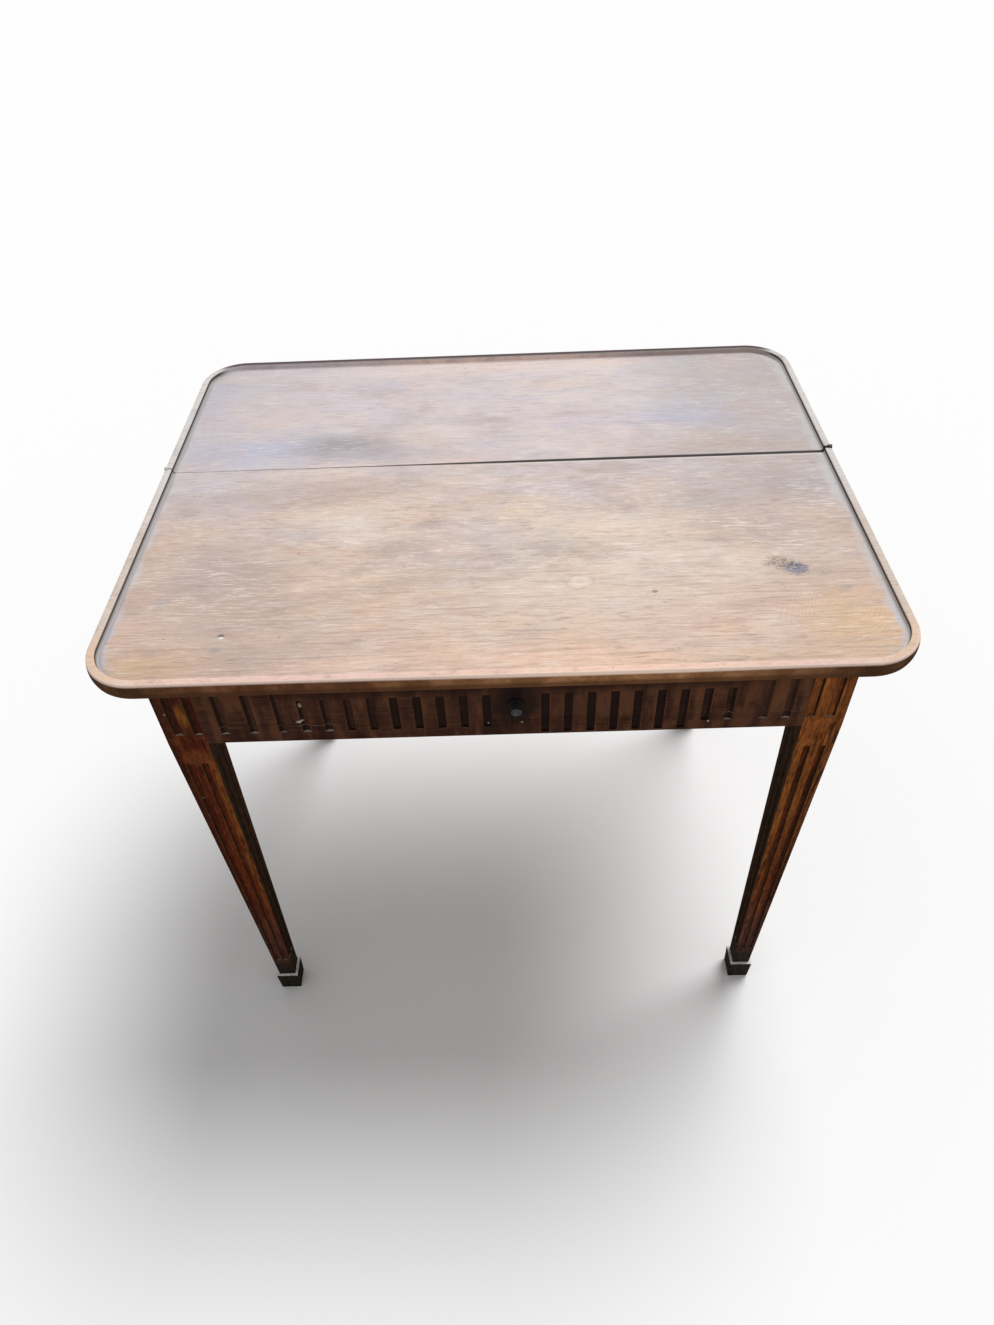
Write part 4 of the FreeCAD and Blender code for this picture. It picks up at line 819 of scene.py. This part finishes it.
upper = dark.times(dark.step(z, 0.50, 0.62, 0.45), dark.step(blotch, 0.62, 0.42), lit, land)
colour = dark.layers(
    colour,
    (shaded, LEG_SHADE),
    (dark.times(dark.step(long_streaks, 0.54, 0.68, 0.7), land, golden, lit), GOLD),
    (dark.times(on_left, 0.5, lit), LEFT_RED),
    (dark.times(dark.step(long_streaks, 0.47, 0.34, 0.75), lit), STREAK_DIRT),
    (upper, UPPER_TONE),
    (outer_strip, OUTER_DARK),
    (dark.times(inner_strip, on_taper, dark.step(broken, 0.42, 0.58)), INNER_GOLD),
    (right_glow, RIGHT_GLOW),
)
tell("leg finish: faces", dark.tree)

# %% [markdown]
# The marks of the legs come last: a dull block at the head of the left leg with one amber place, shelves
# under the flutes pale with dust and painted light, and ankle and foot dark with floor wax, the ledge's
# upward face a pale line. A fine mottling is multiplied in, since old polish is never one tone.

# %% Finish of the legs: the marks
DULL_BLOCK, LEG_SHELF_DUST_AND_LIGHT, LOW_GREY = (0.032, 0.0125, 0.0075), (0.50, 0.45, 0.40), (0.080, 0.050, 0.046)
FLOOR_WAX, PALE_LEDGE = (0.024, 0.021, 0.016), (0.80, 0.76, 0.74)
LEG_CHIP = 0.0018
amber = spot(dark, place, (-0.364, FRONT_Y, 0.682), (0.009, 0.02, 0.024), ragged=0.8)
# Shelves: dust and painted light on their upward faces.
shelf = dark.times(dark.step(hollow, 0.02, 0.2), dark.step(facing_up, 0.5, 0.8))
colour = dark.layers(
    colour,
    (dark.times(dark.step(z, 0.640, 0.660, 0.6), on_left, lit), DULL_BLOCK),
    (dark.times(amber, 0.7), GOLD),
    (dark.times(shelf, dark.step(blotch, 0.3, 0.55, 0.8)), LEG_SHELF_DUST_AND_LIGHT),
    (dark.times(dark.step(z, 0.30, 0.12, 0.35), lit), LOW_GREY),
    (dark.step(z, 0.100, 0.062, 0.95), FLOOR_WAX),
    (dark.times(dark.step(facing_up, 0.4, 0.7), dark.step(z, 0.048, 0.044)), PALE_LEDGE),
)
for across, up in ((-0.3817, 0.6863), (-0.3791, 0.5256)):
    chip = spot(dark, place, (across, FRONT_Y, up), (LEG_CHIP, 0.012, LEG_CHIP), ragged=1.6)
    colour = dark.over(dark.times(chip, 0.5), colour, PALE_CHIP)
fine = dark.step(dark.noise(place, 260.0, 3.0, 0.7, stretch=(1, 1, 0.3)), 0.28, 0.72)
mottled = dark.over(fine, (0.62, 0.62, 0.66), (1.38, 1.36, 1.30))
dark.show(Base_Color=dark.vector("MULTIPLY", colour, mottled))
tell("leg finish: marks", dark.tree)

# %% [markdown]
# Inside, nobody polished anything. The hidden rails, runners and the drawer's box are plain sawn wood that
# has only browned in the air, with dust in its grain.

# %% Finish of the hidden wood
BARE_DARK, BARE_LIGHT, BARE_STREAK = (0.19, 0.105, 0.055), (0.34, 0.21, 0.12), (0.12, 0.065, 0.035)
BARE_CLOUD, BARE_PORE = (0.11, 0.07, 0.045), (0.07, 0.04, 0.025)


def bare_wood(name, stretch):
    material, bare, place = start_finish(name, Specular_IOR_Level=0.25)
    wood = bare.effect(wood_grain, Vector=place, Stretch=stretch)
    colour = bare.layers(
        bare.over(bare.step(wood["Figure"], 0.35, 0.65), BARE_DARK, BARE_LIGHT),
        (bare.step(wood["Streaks"], 0.45, 0.75, 0.55), BARE_STREAK),
        (bare.step(bare.noise(place, 12.0, 4.0), 0.55, 0.75, 0.4), BARE_CLOUD),
        (bare.times(wood["Pores"], 0.4), BARE_PORE),
    )
    rough = bare.step(wood["Streaks"], -0.8, 0.9, 0.9)
    bare.show(Base_Color=colour, Roughness=rough, Normal=bare.bump(wood["Streaks"], 0.25, 0.0006))
    return material


bare_across = bare_wood("bare_across", (0.7, 8, 8))
bare_lengthwise = bare_wood("bare_lengthwise", (8, 0.7, 8))
bare_upright = bare_wood("bare_upright", (8, 8, 0.7))
tell("hidden wood", bare_across.node_tree)

# %% [markdown]
# The hinges, the knob and its plate are brass gone brown, and only the knob still shines a little. A
# metal's colour sits in its reflection, so grime must also lower the Metallic value where it lies. The
# left hinge is grey with dust on top, and dust doesn't shine at all.

# %% Finish of the metal
HINGE_DUST = ((0.80, 0.79, 0.78), (0.64, 0.632, 0.624))


def old_metal(name, bright, grime, cover, polish=1.0, dust=None):
    material, metal, place = start_finish(name, Specular_IOR_Level=0.5 * polish)
    stains = metal.noise(place, 420.0, 5.0, 0.65)
    mask = metal.step(stains, 0.62 - cover, 0.80 - cover)
    colour = metal.over(mask, bright, grime)
    shine = metal.times(metal.less(1.0, metal.times(mask, 0.75)), polish)
    if dust:
        x, _, z = metal.split(place)
        dusty = metal.times(metal.step(x, 0.0, -0.1), metal.step(z, 0.740, 0.746))
        colour = metal.over(dusty, colour, metal.over(mask, *dust))
        shine = metal.times(shine, metal.less(1.0, dusty))
    rough = metal.plus(metal.times(mask, 0.3), 0.34)
    metal.show(Base_Color=colour, Metallic=shine, Roughness=rough, Normal=metal.bump(stains, 0.2, 0.0003))
    return material


hinge_metal = old_metal("hinge_brass", (0.09, 0.07, 0.055), (0.035, 0.022, 0.016), 0.24, dust=HINGE_DUST)
knob_metal = old_metal("knob_brass", (0.065, 0.062, 0.062), (0.013, 0.011, 0.012), 0.22, 0.7)
rosette_metal = old_metal("rosette_brass", (0.020, 0.016, 0.014), (0.009, 0.0075, 0.007), 0.30, 0.1)
tell("hinge brass", hinge_metal.node_tree)

# %% [markdown]
# A CAD solid has edges like knives. On the real table every arris has been eased by plane, polish and
# hands, and the light catches exactly there. The copy of a node is loose triangles, so it is merged first
# and its flat faces joined up; then the bevel operator takes off each edge that turns more than a flute's
# facets do.

# %% Ease the arrises of a copy
FACET_TURN, FLAT_TURN = math.radians(28), math.radians(0.5)
SAME_POINT = 1e-5


def eased(node, width, hollow=None):
    shape = bmesh.new()
    shape.from_mesh(nodes[node].data)
    arris = shape.faces.layers.float.new("arris")
    depth = shape.verts.layers.float.new("hollow")
    bmesh.ops.remove_doubles(shape, verts=shape.verts, dist=SAME_POINT)
    bmesh.ops.dissolve_limit(shape, angle_limit=FLAT_TURN, verts=shape.verts, edges=shape.edges)
    sharp = [e for e in shape.edges if len(e.link_faces) == 2 and e.calc_face_angle() > FACET_TURN]
    made = bmesh.ops.bevel(
        shape, geom=sharp, offset=width, offset_type="OFFSET", affect="EDGES", segments=2, profile=0.5,
        material=-1, clamp_overlap=False,
    )
    for face in made["faces"]:
        face[arris] = 1.0
    if hollow:
        for vert in shape.verts:
            vert[depth] = hollow(vert.co)
    return shape


def finish_piece(node, shape, material):
    """The worn piece that stands for a CAD node and rides on the same body."""
    name = f"{node}_worn"
    mesh = bpy.data.meshes.new(name)
    shape.to_mesh(mesh)
    shape.free()
    mesh.shade_smooth()
    mesh.set_sharp_from_angle(angle=FACET_TURN)
    mesh.materials.append(material)
    made = stand(name, mesh)
    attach(made, body_of(nodes[node])[0])
    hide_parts(node)
    print(name, len(mesh.polygons), "faces")


print("easing is ready")

# %% [markdown]
# The two boards are the field of the tray. All their edges are eased, though only the ones that meet at
# the seam will show.

# %% The two leaves
LEAF_EASE = 0.00025
for node in ("front_leaf_board", "rear_leaf_board"):
    finish_piece(node, eased(node, LEAF_EASE), top_wood)

# %% [markdown]
# The rim is run with a moulding plane, so one section serves all round. It is drawn as a joiner would,
# with rule and compass: spinning a point gives each round stretch, extruding one gives each straight one,
# and bevelling two points takes the sharpness off the crown.

# %% Section of the rim
low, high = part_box("front_leaf_long_moulding")
UNDERSIDE, RIM_TOP = low.z, high.z
NOSE_RADIUS, CROWN_START, CROWN_END, MOULDING_WIDTH = 0.0286, 0.0020, 0.0106, 0.0140
WALL_LEAN, COVE_RADIUS = 0.0008, 0.0022
OUTER_WEAR, INNER_WEAR = 0.0012, 0.0008
NOSE_STEPS, COVE_STEPS = 14, 6


def carry_on(shape, point, step):
    """Draw a straight line on from a point."""
    made = bmesh.ops.extrude_vert_indiv(shape, verts=[point])["verts"]
    bmesh.ops.translate(shape, verts=made, vec=step)
    return made[0]


def sweep(shape, point, centre, angle, steps):
    """Draw an arc on from a point."""
    made = bmesh.ops.spin(
        shape, geom=[point], cent=centre, axis=(0, 1, 0), dvec=(0, 0, 0), angle=angle, steps=steps,
        use_duplicate=False,
    )
    return next(item for item in made["geom_last"] if isinstance(item, bmesh.types.BMVert))


def rim_section():
    """The section at the origin: x runs in from the outline of the top, z up."""
    shape = bmesh.new()
    foot = shape.verts.new((CROWN_START, 0, UNDERSIDE))
    nose_turn = 2 * math.asin((RIM_TOP - UNDERSIDE) / 2 / NOSE_RADIUS)
    outer = sweep(shape, foot, (NOSE_RADIUS, 0, (UNDERSIDE + RIM_TOP) / 2), nose_turn, NOSE_STEPS)
    inner = carry_on(shape, outer, (CROWN_END - CROWN_START, 0, 0))
    wall = carry_on(shape, inner, (WALL_LEAN, 0, FIELD_Z + COVE_RADIUS - RIM_TOP))
    cove = (CROWN_END + WALL_LEAN + COVE_RADIUS, 0, FIELD_Z + COVE_RADIUS)
    toe = sweep(shape, wall, cove, -math.pi / 2, COVE_STEPS)
    back = carry_on(shape, toe, (MOULDING_WIDTH - CROWN_END - WALL_LEAN - COVE_RADIUS, 0, 0))
    heel = carry_on(shape, back, (0, 0, UNDERSIDE - FIELD_Z))
    shape.edges.new((heel, foot))
    for point, worn in ((outer, OUTER_WEAR), (inner, INNER_WEAR)):
        bmesh.ops.bevel(
            shape, geom=[point], offset=worn, offset_type="OFFSET", affect="VERTICES", segments=3,
            profile=0.5, material=-1,
        )
    return shape


section = rim_section()
print("rim section of", len(section.verts), "points")
section.free()

# %% [markdown]
# A straight moulding is that section pushed along the edge of its leaf, and a corner is the same section
# spun through a quarter turn about the corner's centre. The CAD box of each moulding says where it starts
# and ends.

# %% The rim of the tray
FACING = {"left": 0.0, "front": math.pi / 2, "right": math.pi, "rear": -math.pi / 2}
ENDS = ("left", "right")
CORNER_STEPS = 18


def set_section(side, along):
    """The section standing on one side of the outline, at a place along it."""
    shape = rim_section()
    half = HALF_TOP[0] if side in ENDS else HALF_TOP[1]
    bmesh.ops.translate(shape, verts=shape.verts, vec=(-half, 0, 0))
    bmesh.ops.rotate(shape, verts=shape.verts, cent=(0, 0, 0), matrix=Matrix.Rotation(FACING[side], 3, "Z"))
    bmesh.ops.translate(shape, verts=shape.verts, vec=along)
    return shape


def close_up(shape):
    bmesh.ops.remove_doubles(shape, verts=shape.verts, dist=SAME_POINT / 10)
    bmesh.ops.holes_fill(shape, edges=shape.edges, sides=0)
    bmesh.ops.recalc_face_normals(shape, faces=shape.faces)
    return shape


def straight_rim(node, side):
    low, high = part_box(node)
    run = Vector((0, high.y - low.y, 0)) if side in ENDS else Vector((high.x - low.x, 0, 0))
    shape = set_section(side, (0, low.y, 0) if side in ENDS else (low.x, 0, 0))
    made = bmesh.ops.extrude_edge_only(shape, edges=shape.edges[:])["geom"]
    bmesh.ops.translate(shape, verts=[v for v in made if isinstance(v, bmesh.types.BMVert)], vec=run)
    return close_up(shape)


def corner_rims(end):
    """Both corners of one leaf; end is 'front' or 'rear'."""
    pair = bmesh.new()
    middle_y = (HALF_TOP[1] - CORNER_RADIUS) * (-1 if end == "front" else 1)
    for side, sign in (("left", -1), ("right", 1)):
        shape = set_section(side, (0, middle_y, 0))
        middle = (sign * (HALF_TOP[0] - CORNER_RADIUS), middle_y, 0)
        quarter = math.pi / 2 * (-sign if end == "front" else sign)
        bmesh.ops.spin(
            shape, geom=shape.verts[:] + shape.edges[:], cent=middle, axis=(0, 0, 1), dvec=(0, 0, 0),
            angle=quarter, steps=CORNER_STEPS, use_duplicate=False,
        )
        mesh = bpy.data.meshes.new("one_corner")
        close_up(shape).to_mesh(mesh)
        shape.free()
        pair.from_mesh(mesh)
        bpy.data.meshes.remove(mesh)
    return pair


for leaf, end in (("front_leaf", "front"), ("rear_leaf", "rear")):
    for part, side in (("long_moulding", end), ("left_moulding", "left"), ("right_moulding", "right")):
        node = f"{leaf}_{part}"
        finish_piece(node, straight_rim(node, side), rim_wood)
    finish_piece(f"{leaf}_corners", corner_rims(end), rim_wood)

# %% [markdown]
# The apron is fluted on the front and on both sides. How deep a point lies in a flute is simply its
# distance behind the face of its board. The plain rail at the back only has its arrises eased.

# %% The apron
FLUTE_DEPTH, A_LITTLE_MORE = 0.0033, 1e-4
FRIEZE_EASE, REAR_EASE = 0.0005, 0.0006


def sunk_below(face, outward):
    """Says how deep a point lies behind a fluted face, in depths of a flute."""
    def depth(place):
        sunk = face - outward(place)
        return sunk / FLUTE_DEPTH if sunk < FLUTE_DEPTH + A_LITTLE_MORE else 0.0
    return depth


for node in (
    "bottom_front_rail", "top_front_rail", "left_frieze_panel", "right_frieze_panel", "drawer_front",
):
    sunk = sunk_below(-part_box(node)[0].y, lambda place: -place.y)
    finish_piece(node, eased(node, FRIEZE_EASE, sunk), front_polish)
for node in ("left_side_rail", "right_side_rail"):
    low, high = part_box(node)
    sunk = sunk_below(max(abs(low.x), abs(high.x)), lambda place: abs(place.x))
    finish_piece(node, eased(node, FRIEZE_EASE, sunk), side_polish)
finish_piece("rear_rail", eased("rear_rail", REAR_EASE), front_polish)

# %% [markdown]
# Each leg is one post: a square block at the top, a fluted taper, and a small square foot with a ledge. A
# point's depth in a flute is measured from the face of the taper at its height.

# %% The legs
LEG_FLUTE_DEPTH, LEG_EASE = 0.0027, 0.0006
FLUTED = ((0.0875, 0.5985), (0.6495, 0.7155))


def inside_leg(place):
    across = abs(abs(place.x) - LEG_CENTRE_X)
    along = abs(abs(place.y - CENTRE_Y) - LEG_CENTRE_Y)
    rise = min(1.0, (place.z - ANKLE_Z) / (BLOCK_Z - ANKLE_Z))
    sunk = (ANKLE_SIZE + rise * (LEG_SIZE - ANKLE_SIZE)) / 2 - max(across, along)
    fluted = any(start < place.z < end for start, end in FLUTED)
    return min(1.0, sunk / LEG_FLUTE_DEPTH) if fluted and 0 < sunk < FLUTE_DEPTH + A_LITTLE_MORE else 0.0


for node in ("front_left_leg", "front_right_leg", "rear_left_leg", "rear_right_leg"):
    finish_piece(node, eased(node, LEG_EASE, inside_leg), leg_polish)

# %% [markdown]
# The hidden woodwork and the metal are right as the CAD has them, so those nodes stay and only get their
# finish, with the grain along each stick.

# %% Hidden woodwork and metal
SLIDES = ("left_slide_bar", "right_slide_bar", "drawer_left_side", "drawer_right_side")
CARRIAGE = ("lower_keeper", "upper_keeper", "drawer_runner", "drawer_guide", "drawer_kicker")
for finish, names in (
    (bare_across, ("inner_back_rail", "drawer_back", "drawer_bottom", "drawer_stops")),
    (bare_lengthwise, (*SLIDES, *(f"{side}_{part}" for side in ENDS for part in CARRIAGE))),
    (bare_upright, ("glue_blocks", "rear_corner_blocks", "slide_stop_pegs")),
    (hinge_metal, ("front_hinge_plates", "rear_hinge_plates", "hinge_pins")),
    (rosette_metal, ("knob_rosette",)),
    (knob_metal, ("drawer_knob",)),
):
    for node in names:
        nodes[node].material_slots[0].material = finish
print(len([o for o in nodes.values() if not o.hide_render]), "CAD nodes keep their own shape")

# %% [markdown]
# Last, the box of the finished model is measured. Nothing here may make the table bigger.

# %% Sizes
low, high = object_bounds()
